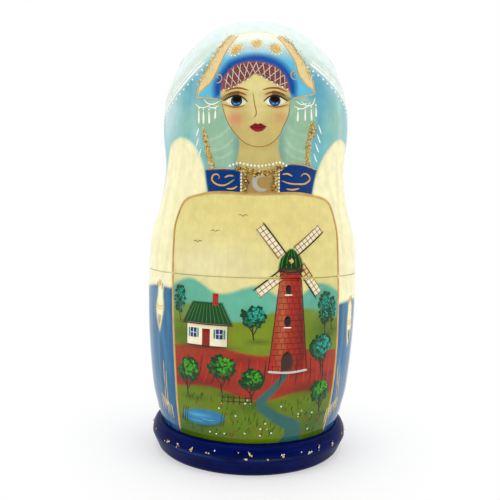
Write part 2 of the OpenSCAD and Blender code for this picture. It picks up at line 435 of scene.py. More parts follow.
def lay_coat(canvas, half, name, material, painter=None):
    """Closed thin coat over the outside of one half: the side's rows, lifted and turned round the axis.

    A few rows under the skin close the coat from within. painter gives each point its colour from its
    place on the canvas. The map unrolls the outside, and keeps thin strips at its top for the rest.
    """
    sizes = bpy.context.scene.doll_sizes
    normal = outward(half.side)
    outer = half.side + normal * sizes.coat
    few = np.linspace(0, len(outer) - 1, max(LEAST_ROWS, len(outer) // 10)).astype(int)[::-1]
    inner = (half.side - normal * sizes.root * canvas.scale)[few]
    rows = np.vstack([inner, outer])
    rows[:, 1] = np.clip(rows[:, 1], *half.limits)
    ends_on_axis = half.side[-1, 0] < MERGE
    count = max(LEAST_COLUMNS, int(sizes.columns * canvas.scale**0.8))
    angles = front_angles(count)
    body_rows = rows[1:-1] if ends_on_axis else rows
    r, z = body_rows[:, 0, None], body_rows[:, 1, None]
    points = np.stack(np.broadcast_arrays(r * np.sin(angles), -r * np.cos(angles), z), -1).reshape(-1, 3)
    grid = np.arange(len(points)).reshape(len(body_rows), count)
    upper = grid[1:] if ends_on_axis else np.roll(grid, -1, axis=0)
    lower = grid[: len(upper)]
    quads = np.stack([lower, np.roll(lower, -1, 1), np.roll(upper, -1, 1), upper], -1).reshape(-1, 4)
    across = np.arange(count + 1) / count
    hidden = len(inner)
    rise = np.linspace(0, MAP_OUTSIDE, len(rows) - hidden)
    rise = np.concatenate([np.linspace(1, MAP_INSIDE, hidden), rise])
    below = rise.copy()
    above = np.roll(rise, -1)
    below[hidden - 1], above[hidden - 1] = MAP_FOOT
    below[-1], above[-1] = MAP_HEAD
    bands = slice(1, -2) if ends_on_axis else slice(None)
    a, b = np.broadcast_arrays(across[:-1], below[bands, None])
    c, d = np.broadcast_arrays(across[1:], above[bands, None])
    places = [np.stack([a, b, c, b, c, d, a, d], -1).reshape(-1, 2)]
    faces = [quads]
    if ends_on_axis:
        points = np.vstack([points, [0, 0, rows[0, 1]], [0, 0, rows[-1, 1]]])
        bottom, top = len(points) - 2, len(points) - 1
        middle = (across[:-1] + across[1:]) / 2
        for ring, end, level, tip, first, second in (
            (grid[0], bottom, rise[1], 1, 1, 0), (grid[-1], top, rise[-2], MAP_CROWN, 0, 1)
        ):
            pair = ring, np.roll(ring, -1)
            faces.append(np.column_stack([pair[first], pair[second], np.full(count, end)]))
            a, c = across[first : first + count], across[second : second + count]
            flat = np.full(count, level)
            places.append(np.stack([a, flat, c, flat, middle, np.full(count, tip)], -1).reshape(-1, 2))
    paint = None
    if painter:
        v = canvas.height_to_v(points[:, 2])
        radius = np.hypot(points[:, 0], points[:, 1])
        angle = np.arctan2(points[:, 0], -points[:, 1])
        paint = painter(angle * radius / (MM * canvas.scale), v, angle)
    return new_piece(name, points, faces, half.body, material, paint, np.vstack(places))


EVERYWHERE = slice(None)  # all the spots of a sheet
MASK_EDGE = 0.5  # width of the soft edge of a mask, in canvas millimetres


class Sheet:
    """Flat paint on a canvas: colours of many spots, laid in layers with soft edges."""

    def __init__(self, u, v, base):
        self.spots = np.column_stack([u, v])
        self.rgb = np.tile(base, (len(u), 1)).astype(float)
        self.mask = np.ones(len(u))

    def near(self, path, reach):
        """Spots inside the box of a path, widened by reach."""
        low, high = path.min(0) - reach, path.max(0) + reach
        return np.flatnonzero(((self.spots >= low) & (self.spots <= high)).all(1))

    def distance(self, which, path, closed):
        """Distance of some spots to a path, and whether they lie inside it.

        The distance is the least one to the path's straight pieces. A spot is inside when a ray from it
        crosses an odd number of them.
        """
        a = path if closed else path[:-1]
        b = np.roll(path, -1, axis=0) if closed else path[1:]
        least = np.full(len(which), np.inf)
        inside = np.zeros(len(which), bool)
        x, y = self.spots[which].T
        for (ax, ay), (bx, by) in zip(a, b):
            dx, dy = bx - ax, by - ay
            t = np.clip(((x - ax) * dx + (y - ay) * dy) / (dx * dx + dy * dy + 1e-12), 0, 1)
            np.minimum(least, (x - ax - t * dx) ** 2 + (y - ay - t * dy) ** 2, out=least)
            if (ay > by) or (ay < by):
                inside ^= ((ay <= y) != (by <= y)) & (x < ax + (y - ay) * dx / dy)
        return np.sqrt(least), inside

    def lay(self, which, ink, share):
        """Covers some spots with a colour by a share from 0 to 1."""
        share = (np.clip(share, 0, 1) * self.mask[which])[:, None]
        self.rgb[which] += share * (ink - self.rgb[which])

    def fill(self, ink, outline, soft=0.6, strength=1.0):
        """Covers the inside of a closed outline. Its edge fades over soft millimetres."""
        which = self.near(outline, soft)
        gap, inside = self.distance(which, outline, True)
        self.lay(which, ink, strength * (0.5 + np.where(inside, gap, -gap) / soft))

    def line(self, ink, path, width, soft=0.6, strength=1.0):
        """Covers a line along a path. Its edges fade over soft millimetres."""
        which = self.near(path, width / 2 + soft)
        gap, _ = self.distance(which, path, False)
        self.lay(which, ink, strength * (0.5 + (width / 2 - gap) / soft))

    def glow(self, ink, u, v, half_u, half_v, strength=1.0):
        """Covers a soft round place that fades as a bell curve."""
        x, y = (self.spots[:, 0] - u) / half_u, (self.spots[:, 1] - v) / half_v
        self.lay(EVERYWHERE, ink, strength * np.exp(-(x**2) - y**2))

    def keep_to(self, outline=None):
        """Later layers stay inside an outline, or go everywhere again."""
        self.mask = np.ones(len(self.spots))
        if outline is not None:
            which = self.near(outline, 0)
            gap, inside = self.distance(which, outline, True)
            self.mask = np.zeros(len(self.spots))
            self.mask[which] = np.where(inside, np.clip(gap / MASK_EDGE, 0, 1), 0)


SEAM_CLEAR = 0.45  # marks keep this far from the seam, in canvas millimetres
ROOT = -0.12  # depth of a mark's rim under the skin
PROFILE = np.array([[1, -1], [0.6, 1], [-0.6, 1], [-1, -1]])  # across and height of a stroke's section
PATCH_REACH, PATCH_RISE = (1.0, 0.96, 0.55), (0.85, 1.0)  # rings of a patch and their heights
LATER, LATER_MARKS = 0.004, 12  # how much higher each mark stands than the last, and for how many
TIP_WIDTH = 0.06  # least width of a stroke, as a share of its full one
SHOULDER_REACH, SHOULDER_RISE = 0.72, 0.74  # a dab's shoulder ring, as shares of its size and height
FLAKE_SIDES = 6
FLAKE_SIZES = (0.7, 1.25)  # least and greatest flake, as shares of the usual one
FLAKE_LEAN = 0.3  # usual slope of a flake
FLAKE_GAP, FLAKE_THICKNESS = 0.12, 0.06  # its least height off the skin, in canvas millimetres
MAP_MARGIN = 0.01  # free edge of the map of a piece's marks
FINE_SCALE = 0.45  # dolls above this share of the largest one's width get the finest marks
NET_SCALE = 0.4  # and those above this share a close hair net


class Brush:
    """Marks of one finish on one doll: thin closed solids on its canvas.

    A mark is worked out in canvas millimetres as u, v and height off the skin. Marks that come later
    stand a little higher, so that they cover the earlier ones.
    """

    def __init__(self, canvas, layer, relief=1.0):
        self.canvas = canvas
        self.layer = layer
        sizes = bpy.context.scene.doll_sizes
        self.relief = sizes.relief / MM * relief
        self.gap = sizes.curve_gap / MM / canvas.scale**0.6  # fewer points on smaller dolls
        self.points, self.faces, self.paint, self.upper = [], [], [], []

    def add(self, points, faces, paint):
        """Keeps one mark, for the half that it lies on, clear of the seam."""
        side = 1 if points[:, 1].mean() > 0 else -1
        self.add_many(points, faces, np.broadcast_to(paint, points.shape), side)

    def stroke(self, path, width, ink, level=1, taper=0.25):
        """Brush stroke: a low flat-topped profile carried along a path, with rounded ends.

        taper gives the share of the length over which an end narrows as a quarter ellipse, as one number
        or as one for each end.
        """
        path = np.asarray(path, float)
        line = even(path, self.gap) if len(path) < 3 else smooth(path, self.gap)
        if len(line) < 3:
            line = even(line, np.linalg.norm(line[-1] - line[0]) / 2 - 1e-9)
        share = np.linspace(0, 1, len(line))
        pairs = zip((share, 1 - share), np.broadcast_to(taper, 2))
        ends = [np.clip(s / max(t, 1e-6), 0, 1) for s, t in pairs]
        half = width / 2 * np.prod([np.sqrt(1 - (1 - e) ** 2) for e in ends], axis=0)
        half = np.maximum(half, width * TIP_WIDTH)[:, None]
        along = np.gradient(line, axis=0)
        across = np.column_stack([-along[:, 1], along[:, 0]])
        across /= np.linalg.norm(across, axis=1)[:, None] + 1e-12
        sides = np.sign(line[:, 1])
        for run in np.split(np.arange(len(line)), np.flatnonzero(np.diff(sides)) + 1):
            if len(run) < 2:
                continue
            rings = line[run, None] + half[run, None] * across[run, None] * PROFILE[None, :, :1]
            lift = np.broadcast_to(PROFILE[None, :, 1:] * self.relief * level, (len(run), 4, 1))
            points = np.concatenate([rings, lift], -1).reshape(-1, 3)
            ring = np.arange(len(points)).reshape(-1, 4)
            a, b = ring, np.roll(ring, -1, axis=1)
            quads = np.stack([b[:-1], b[1:], a[1:], a[:-1]], -1).reshape(-1, 4)
            self.add(points, [np.vstack([quads, ring[:1, ::-1], ring[-1:]])], ink)

    def dabs(self, places, half_u, half_v, ink, level=1, turn=0.0, height=None, sides=8):
        """Many dabs at once: low domes on ellipses, each a rim, a shoulder ring and a top.

        height is that of the dome in canvas millimetres, if it isn't the brush's own relief.
        """
        places = np.atleast_2d(np.asarray(places, float))
        many = len(places)
        half_u, half_v, turn = (np.broadcast_to(x, many)[:, None] for x in (half_u, half_v, turn))
        ink = np.broadcast_to(ink, (many, 3))
        a = np.linspace(0, 2 * np.pi, sides, endpoint=False)
        reach = np.concatenate([[0], np.ones(sides), np.full(sides, SHOULDER_REACH), [0]])
        angle = np.concatenate([[0], a, a, [0]])
        x, y = half_u * reach * np.cos(angle), half_v * reach * np.sin(angle)
        u = places[:, :1] + x * np.cos(turn) - y * np.sin(turn)
        v = places[:, 1:] + x * np.sin(turn) + y * np.cos(turn)
        top = self.relief * level if height is None else height
        lift = np.concatenate([[ROOT] * (sides + 1), [SHOULDER_RISE * top] * sides, [top]])
        rim = np.arange(1, sides + 1)
        ring, tip = rim + sides, 2 * sides + 1
        quads = np.column_stack([rim, np.roll(rim, -1), np.roll(ring, -1), ring])
        fans = np.vstack([
            np.column_stack([ring, np.roll(ring, -1), np.full(sides, tip)]),
            np.column_stack([np.roll(rim, -1), rim, np.zeros(sides, int)]),
        ])
        points = np.stack([u, v, np.broadcast_to(lift, u.shape)], -1)
        self.add_alike(places, points, [quads, fans], ink)

    def add_alike(self, places, points, faces, tint):
        """Keeps many marks of one make: a row of points and a colour for each, and the faces of one."""
        many = points.shape[1]
        for side in (-1, 1):
            mine = np.sign(places[:, 1]) == side
            if mine.any():
                shift = (np.arange(mine.sum()) * many)[:, None, None]
                moved = [(f + shift).reshape(-1, f.shape[1]) for f in faces]
                self.add_many(points[mine], moved, np.repeat(tint[mine], many, axis=0), side)

    def add_many(self, points, faces, paint, side):
        """Keeps a batch of marks that lie on one half."""
        points = points.reshape(-1, 3).copy()
        points[:, 1] = np.maximum(points[:, 1] * side, SEAM_CLEAR) * side
        points[points[:, 2] > 0, 2] += LATER * (len(self.points) % LATER_MARKS)
        self.points.append(points)
        self.faces.append(faces)
        self.paint.append(paint)
        self.upper.append(side > 0)

    def patch(self, outline, ink, level=1, edge=None):
        """Filled patch: rings drawn in from a closed outline towards its middle, as a flat low mound."""
        middle = outline.mean(0)
        many = len(outline)
        rings = [middle + (outline - middle) * s for s in PATCH_REACH]
        lift = np.repeat(np.array([ROOT, *[self.relief * level * h for h in PATCH_RISE]]), many)
        points = np.column_stack([np.vstack(rings), lift])
        points = np.vstack([points, [*middle, ROOT], [*middle, self.relief * level]])
        grid = np.arange(len(rings) * many).reshape(-1, many)
        (x, y), (next_x, next_y) = (outline - middle).T, (np.roll(outline, -1, 0) - middle).T
        if (x * next_y - y * next_x).sum() < 0:
            grid = grid[:, ::-1]
        nxt = np.roll(grid, -1, axis=1)
        quads = np.stack([grid[:-1], nxt[:-1], nxt[1:], grid[1:]], -1).reshape(-1, 4)
        bottom, top = len(points) - 2, len(points) - 1
        fans = np.vstack([
            np.column_stack([grid[-1], nxt[-1], np.full(many, top)]),
            np.column_stack([nxt[0], grid[0], np.full(many, bottom)]),
        ])
        paint = np.tile(ink, (len(points), 1)).astype(float)
        if edge is not None:
            paint[: 2 * many] = edge
        self.add(points, [quads, fans], paint)

    def flakes(self, places, radius, tints, seed):
        """Glitter: thin six-sided plates, each with its own lean and one of a few tints."""
        rng = np.random.default_rng(seed)
        many = len(places)
        a = np.linspace(0, 2 * np.pi, FLAKE_SIDES, endpoint=False)[None] + rng.uniform(0, 1, many)[:, None]
        size = radius * rng.uniform(*FLAKE_SIZES, many)[:, None]
        x, y = size * np.cos(a), size * np.sin(a)
        lean = rng.normal(0, FLAKE_LEAN, (2, many, 1))
        mid = FLAKE_GAP + np.abs(lean).sum(0) * size
        top = mid + lean[0] * x + lean[1] * y
        u, v = places[:, :1] + x, places[:, 1:] + y
        low = top - FLAKE_THICKNESS
        points = np.concatenate([np.stack([u, v, top], -1), np.stack([u, v, low], -1)], 1)
        ring = np.arange(FLAKE_SIDES)
        around = np.roll(ring, -1)
        sides = np.column_stack([ring + FLAKE_SIDES, around + FLAKE_SIDES, around, ring])
        caps = np.array([[0, 1, 2, 3], [0, 3, 4, 5], [9, 8, 7, 6], [11, 10, 9, 6]])
        quads = np.vstack([sides, caps])
        tint = np.asarray(tints)[rng.integers(0, len(tints), many)]
        self.add_alike(places, points, [quads], tint)

    def build(self, material):
        """Makes one piece for each half from the marks on it."""
        for half in self.canvas.halves:
            mine = [k for k, up in enumerate(self.upper) if half.half == 0 or up == (half.half > 0)]
            if not mine:
                continue
            shift = np.cumsum([0] + [len(self.points[k]) for k in mine])
            flat = np.vstack([self.points[k] for k in mine])
            faces = [f + s for k, s in zip(mine, shift) for f in self.faces[k]]
            paint = np.vstack([self.paint[k] for k in mine])
            points = self.canvas.at(flat[:, 0], flat[:, 1], flat[:, 2] * MM * self.canvas.scale)
            spread = np.ptp(flat[:, :2], axis=0)
            places = MAP_MARGIN + (1 - 2 * MAP_MARGIN) * (flat[:, :2] - flat[:, :2].min(0)) / spread
            corners = np.concatenate([f.ravel() for f in faces])
            name = f"{half.node}_{self.layer}"
            new_piece(name, points, faces, half.body, material, paint, places[corners])


# Painting of the figure, in canvas millimetres

BACK = 140  # farther round than the middle of the back
FOOT = 68  # farther down than the foot of the side
EYES = ((-7.3, 63.75, -1), (6.5, 64.1, 1))  # middle of each iris, and the side of its outer corner

FACE = smooth(
    (
        (-13.3, 68), (-12.6, 61.5), (-10.3, 56), (-7.2, 51.6), (-3.2, 48.5), (1, 47.5), (5.2, 48.7),
        (8.5, 51.8), (10.6, 56.2), (12, 61.5), (12.3, 67), (8, 73.5), (-1, 76), (-9.5, 73.5),
    ),
    0.8,
    closed=True,
)
JAW = (
    (-13.1, 64.1), (-12.1, 60.5), (-10.4, 56.1), (-7.5, 52.1), (-3, 48.4), (1, 47.5), (5.1, 48.6),
    (8.3, 51.5), (10.2, 55.6), (11.8, 59.5), (12.3, 64.6),
)
NECK = joined(
    ((-6.1, 53), (-6, 46), (-7.2, 41)),
    ((-4.5, 39), (1.8, 38.6), (8, 39), (10.4, 41)),
    ((8.6, 46), (8.4, 53)),
)
HAIR = joined(
    ((-13.4, 67.6), (-12.9, 71.5), (-8.3, 77.4), (-0.4, 79.1), (7.7, 76.6), (11.6, 71), (12.2, 67.8)),
    ((9.6, 69.3), (6.2, 70.6), (2.3, 72.6), (-0.8, 74.1)),
    ((-4.8, 70.9), (-8.6, 68.9), (-13.4, 67.6)),
)
# Ends of the hair net's strands
HAIR_TOP = ((-13, 70.4), (-11.1, 74.2), (-8.3, 77.3), (-0.4, 78.9), (7.7, 76.5), (10.5, 73.2), (11.8, 69.8))
HAIR_FOOT = ((-13, 68), (-8.6, 69.1), (-4.8, 71.1), (-0.8, 74), (2.3, 72.6), (6.2, 70.7), (11.8, 68.2))
BAND_EDGE = (
    (-15.9, 65.2), (-16.1, 71), (-13.7, 74.9), (-11, 78.7), (-5.7, 81.3), (-0.5, 82.2), (4.7, 81.4),
    (9.5, 78.7), (12.6, 74.9), (14.4, 71.6), (14.5, 66.4),
)
BAND = joined(BAND_EDGE)
# Outer edges of the headdress: its two side bands run up from the tips, and its top joins them
TIP_LEFT, TIP_RIGHT = (-23.8, 65.9), (22.9, 68.2)
SIDE_LEFT = (TIP_LEFT, (-22.5, 71.2), (-19.6, 76.5), (-16.8, 82.5), (-13.3, 88.6), (-10.2, 92.5))
SIDE_RIGHT = (TIP_RIGHT, (21.8, 73), (18.7, 79.7), (15, 85.3), (12.1, 89.7), (8.9, 92.6))
INNER_LEFT = (
    (-22.6, 67.6), (-17.4, 71.6), (-15.5, 74.9), (-13.9, 78.8), (-12.3, 82.9), (-10, 87.6), (-7.4, 92.2),
)
INNER_RIGHT = ((21.8, 69.6), (17.6, 72.3), (15.5, 75.3), (14.4, 79.7), (12.3, 83.6), (9.9, 87.8), (7, 91.9))
TOP = ((-10.2, 92.5), (-5, 94.2), (0, 94.7), (5, 94), (8.9, 92.6))
HEADDRESS = joined(SIDE_LEFT, TOP, SIDE_RIGHT[::-1], ((12.4, 65),), ((-13.2, 64.1),))
GOLD_LEFT = joined(SIDE_LEFT, ((-7.4, 92.2),), INNER_LEFT[::-1])
GOLD_RIGHT = joined(SIDE_RIGHT, ((7, 91.9),), INNER_RIGHT[::-1])
MEDALLIONS = ((-8, 84.7, 3.4, 2.2, 0.9), (-0.4, 87.3, 2.3, 2.2, 0), (6.6, 85.4, 2.5, 2.9, 0.3))
# The white veil over the crown ends in a lace edge that falls from the headdress to the back
LACE_LEFT = ((-15.5, 85), (-20.9, 80.1), (-34, 70.6), (-55, 61), (-90, 56), (-BACK, 55))
LACE_RIGHT = ((13.5, 87.5), (20.5, 80.4), (35, 73.4), (52, 66), (90, 57), (BACK, 55))
CAP = joined(LACE_LEFT[::-1], ((13.5, 87.5),), LACE_RIGHT, ((BACK, 130),), ((-BACK, 130),), gap=1.5)
LINING_LEFT = joined(
    ((-24.5, 63), (-23, 56), (-20, 49), (-16.5, 39), (-10, 40)),
    ((-6, 42), (-6, 51)),
    ((-10.3, 56), (-13, 64), (-24.5, 63)),
)
LINING_RIGHT = joined(
    ((23.6, 65), (23.5, 57), (21, 49), (20, 41), (12, 41)),
    ((9, 42.5), (8.5, 51)),
    ((10.6, 56.2), (12.3, 65), (23.6, 65)),
)
# Pale lines along folds of the veil's lining, painted highlights
LINING_FOLDS = (
    ((-9, 55), (-13, 51.5), (-17.6, 50)),
    ((-8.4, 50), (-12, 47), (-17, 46.2)),
    ((-8.6, 45.6), (-12.6, 43.6), (-17, 43.4)),
    ((11.6, 55), (14.6, 53), (19.4, 52.6)),
    ((10.8, 51), (13.6, 48), (18.6, 46.4)),
    ((11, 47), (14, 44.6), (19, 43.6)),
)
SLEEVE_LEFT = joined(
    ((-32.6, 51.8), (-27.9, 50.7), (-23.5, 47.2), (-21, 43), (-18.8, 35), (-17.8, 29)),
    ((-28, 12), (-31, -4), (-34, -5.6)),
    ((-42, -5.2), (-52, -6.2), (-62, -7.6)),
    ((-64, 4), (-57, 20), (-49.6, 33), (-45, 43), (-39.6, 49.8), (-32.6, 51.8)),
)
SLEEVE_RIGHT = joined(
    ((40.7, 53.4), (35.5, 51.8), (31, 48.3), (27.7, 44.3), (24.6, 38), (22.4, 29)),
    ((30, 12), (34, -6), (37, -10.6)),
    ((45, -10), (54, -10), (62, -11)),
    ((65, 4), (61, 25), (55.6, 43), (49, 51.2), (40.7, 53.4)),
)
FOLDS_LEFT = (
    ((-30, 50), (-34, 30), (-36, 6)),
    ((-24, 44), (-30, 26), (-39, -2)),
    ((-38, 48), (-43, 26), (-45, -2)),
)
FOLDS_RIGHT = (
    ((38, 52), (39, 30), (40, -4)),
    ((29, 44), (36, 24), (44, -6)),
    ((47, 50), (50, 26), (49, -6)),
)
HAND_LEFT = joined(
    ((-38.7, -4), (-39, -9.5), (-38.6, -13), (-38.9, -15.5), (-39.9, -18.4), (-41.5, -23)),
    ((-43.6, -18.4), (-44.6, -15), (-44.4, -13), (-43.2, -9.5), (-43, -4)),
)
HAND_RIGHT = joined(
    ((46.2, -9.5), (46.3, -14), (45.8, -18.2), (45.9, -21), (46.4, -24.6), (47.4, -28.4)),
    ((49.8, -24), (51.2, -20), (51.2, -18), (50.6, -14), (50.8, -9.5)),
)
STRAP_LEFT = joined(
    ((-19.3, 39.4), (-12, 39.6), (-5.2, 39.4)),
    ((-4.9, 30.6),),
    ((-17.4, 30),),
    ((-18.6, 34.6), (-19.3, 39.4)),
)
STRAP_RIGHT = joined(
    ((8.8, 39.8), (11.8, 41.5), (18, 41.8), (25, 40.4)),
    ((23.4, 35), (22.4, 30.4)),
    ((8.9, 30.8),),
)
PLASTRON = joined(((-5.2, 39.4), (2, 40.4), (8.8, 39.8)), ((8.9, 30.8),), ((-4.9, 30.6),))
GLITTER_LEFT = ((-20, 53.7), (-18.8, 48.3), (-16.1, 39.6))
GLITTER_RIGHT = ((21.4, 57.2), (20.6, 49.1), (20.3, 42.1))
# Gilt frame of the apron: up the left side, over the top and down the right side
FRAME = (
    (-29.2, -61.6), (-30.6, -40.5), (-32.4, -10), (-32.9, 10), (-32.4, 20), (-28.6, 27.4), (-20, 30.1),
    (0.5, 30.4), (22, 30.6), (31.4, 28), (35.2, 20), (36, 10), (37.1, -10), (36.6, -40.5), (33, -61.6),
)
APRON = joined(FRAME, ((32.2, -FOOT),), ((-28.4, -FOOT),))
VEIL_HEM = 7.0
MILL = np.array(((6.4, -34), (10.2, 3), (17.8, 3), (21.6, -34)))
MILL_CAP = joined(((9, 2.6), (10.2, 7.4), (14, 10.6), (17.8, 7.4), (19, 2.6)))
MILL_HUB = (14, 6.2)
SAIL = ((3.4, 0.3), (17, 0.3), (17, 3.7), (3.4, 3))  # corners of a sail, along its spar and beside it
COTTAGE_WALL = np.array(((-25, -25.4), (-25, -17), (-8.5, -17), (-8.5, -25.4)))
COTTAGE_ROOF = np.array(((-27, -17.4), (-22.6, -9.4), (-10.6, -9.4), (-6.6, -17.4)))
PATH = ((13, -FOOT), (17, -57), (9, -51), (4, -46), (9, -40), (13.4, -34.6))
POND = (-18, -53, 9, 3.2)  # its middle and half widths
# What each doll's scene has besides fields and trees
SCENES = (
    ("mill", "cottage", "pond"), ("cottage", "pond"), ("mill",), ("cottage",), ("pond",), ("cottage",),
    (),
)
# Trees of the scene: place of the crown's middle, its half width, and its kind
TREES = (
    (-28.6, -9, 2.8, "poplar"), (29.4, -11, 3.4, "poplar"), (33, -12, 2.6, "poplar"),
    (0.6, -14, 4.6, "round"), (28.4, -26, 5.6, "round"), (-24.6, -35, 5.4, "round"),
    (-10.6, -33, 5.2, "round"), (0.4, -37, 4.6, "round"), (28.6, -43, 5.0, "round"),
)


def paint_veil(sheet, ink, angle):
    """Veil of the head and back with soft folds, the pale cap over the crown with painted light on its top,
    and the streaked skirt.

    Folds and streaks are sums of sines of the angle round the axis, bent a little with height. Folds are
    painted shade and highlight.
    """
    v = sheet.spots[:, 1]
    fold = np.sin(11 * angle + 0.9 * np.sin(v / 15)) + 0.6 * np.sin(23 * angle + v / 11 + 1)
    # Folds of the veil in painted shade where the sum of sines is high, and in painted highlight where it is
    # low
    sheet.lay(EVERYWHERE, ink.veil * 0.72, 0.34 * np.clip(fold - 0.2, 0, 1))
    sheet.lay(EVERYWHERE, ink.veil_pale, 0.3 * np.clip(-fold - 0.4, 0, 1))
    deep = ink.veil * (0.32, 0.58, 0.85)
    for glow in (
        (deep, -25, 70, 6, 10, 0.6), (deep, 25, 72, 6, 10, 0.75), (ink.veil_leaf, -28, 57, 7, 6, 0.5),
        (ink.veil_leaf, 36, 58, 8, 8, 0.55), (deep, 24, 57, 4, 9, 0.4), (ink.veil_pale, -40, 62, 7, 12, 0.5),
        (ink.veil_pale, 36, 76, 7, 6, 0.4),
    ):
        sheet.glow(*glow)
    sheet.fill(ink.veil_pale, CAP, 4)
    for edge in (LACE_LEFT, LACE_RIGHT):
        sheet.line(ink.veil_leaf, smooth(edge, 2) + (0, 4.2), 2.5, 5, 0.5)
    # Painted light from above: the veil pales towards the top of the head
    sheet.lay(EVERYWHERE, ink.veil_pale, 0.9 * np.clip((v - 84) / 12, 0, 1))
    skirt = np.clip((VEIL_HEM - v) / 0.8, 0, 1)
    streak = np.sin(41 * angle + 1.1 * np.sin(v / 13)) + 0.7 * np.sin(67 * angle + 1.7 * np.sin(v / 19) + 1)
    blotch = np.sin(9 * angle + v / 6 + np.sin(5 * angle))
    blotch += np.sin(v / 4.5 + 2.2 * np.sin(7 * angle)) * np.sin(17 * angle)
    blue = ink.skirt + np.clip(streak - 0.3, 0, 1)[:, None] * 0.2 * (ink.skirt_light - ink.skirt)
    blue += np.clip(-streak - 0.5, 0, 1)[:, None] * 0.4 * (ink.skirt_dark - blue)
    blue += np.clip(blotch - 0.2, 0, 1)[:, None] * 0.22 * (ink.skirt_light - blue)
    sheet.lay(EVERYWHERE, blue, skirt)
    sheet.lay(EVERYWHERE, ink.skirt_dark, 0.55 * np.clip((-46 - v) / 16, 0, 1))


def paint_dress(sheet, ink):
    """Sleeves with folds, hands, straps, plastron and the lining of the veil beside the neck with painted
    highlights on its folds.
    """
    for lining in (LINING_LEFT, LINING_RIGHT):
        sheet.fill(ink.veil_leaf, lining, 2.5, 0.85)
    # Painted highlights: pale lines along folds of the lining
    for fold in LINING_FOLDS:
        sheet.line(ink.lace, smooth(fold, 1), 0.2, 1.3, 0.26)
    for hand in (HAND_LEFT, HAND_RIGHT):
        sheet.fill(ink.sleeve, hand, 0.7)
        sheet.line(ink.sleeve_shade, hand, 0.7, 1.2, 0.7)
    for sleeve, folds in ((SLEEVE_LEFT, FOLDS_LEFT), (SLEEVE_RIGHT, FOLDS_RIGHT)):
        sheet.fill(ink.sleeve, sleeve, 0.9)
        sheet.keep_to(sleeve)
        for fold in folds:
            sheet.line(ink.sleeve_shade, smooth(fold, 1.5), 0.8, 3.2, 0.35)
        sheet.line(ink.sleeve_shade, sleeve, 0.6, 2.6, 0.6)
        sheet.keep_to()
    for strap in (STRAP_LEFT, STRAP_RIGHT):
        sheet.fill(ink.strap, strap, 0.7)
    sheet.fill(ink.ochre * 0.34 + ink.gold_dark * 0.28, PLASTRON, 0.6)


def paint_head(sheet, ink):
    """Neck with painted shade beside it, headdress with its bands and painted light on its top, hair, and the
    face with its shading and blush.
    """
    # Painted shade on the veil along both sides of the neck
    for edge in (((-6.3, 52), (-6.2, 41)), ((8.6, 52), (9, 42))):
        sheet.line(ink.veil * 0.4, np.array(edge, float), 1.6, 4.5, 0.75)
    sheet.fill(ink.skin * 0.8 + ink.skin_dark * 0.1, NECK, 0.6)
    sheet.keep_to(NECK)
    sheet.glow(ink.skin_dark, 1.2, 49, 8, 2.4, 0.6)
    sheet.keep_to()
    sheet.fill(ink.headdress, HEADDRESS, 0.7)
    sheet.keep_to(HEADDRESS)
    # Painted light from above: the headdress pales towards its top
    pale = ink.lace * 0.7 + ink.sleeve * 0.3
    sheet.lay(EVERYWHERE, pale, 0.95 * np.clip((sheet.spots[:, 1] - 80) / 11, 0, 1))
    sheet.line(ink.band, smooth(BAND_EDGE, 1), 0.4, 3.4, 0.55)
    sheet.fill(ink.band, BAND, 2.2)
    sheet.keep_to()
    for gold in (GOLD_LEFT, GOLD_RIGHT):
        sheet.fill(ink.ochre * 0.75 + ink.sleeve * 0.25, gold, 0.6)
    # Painted highlight: a soft cream line along the top edge of the headdress
    sheet.line(ink.sleeve, smooth(TOP, 1), 0.6, 3, 0.8)
    sheet.fill(ink.skin, FACE, 0.6)
    sheet.keep_to(FACE)
    sheet.line(ink.skin_dark, FACE, 0.5, 2, 0.45)
    sheet.lay(EVERYWHERE, ink.skin_dark, 0.36 * np.clip((61 - sheet.spots[:, 1]) / 9, 0, 1))
    for u, v in ((-10.8, 59), (10.6, 60)):
        sheet.glow(ink.skin_light * 0.8 + ink.blush * 0.2, u, v, 1.8, 4, 0.6)
    sheet.glow(ink.skin_light, -0.5, 68, 6.5, 5, 0.8)
    sheet.glow(ink.skin_light, 0, 60.5, 3, 4, 0.5)
    sheet.glow(ink.blush, -7.6, 57.4, 3.4, 2.8, 0.8)
    sheet.glow(ink.blush, 9, 58.4, 3, 2.6, 0.6)
    for u, v, _ in EYES:
        sheet.glow(ink.brown, u, v + 2.3, 4.2, 1.1, 0.6)
        sheet.glow(ink.brown, u, v - 2.2, 4, 0.7, 0.3)
    sheet.keep_to()
    sheet.fill(ink.hair, HAIR, 0.6)


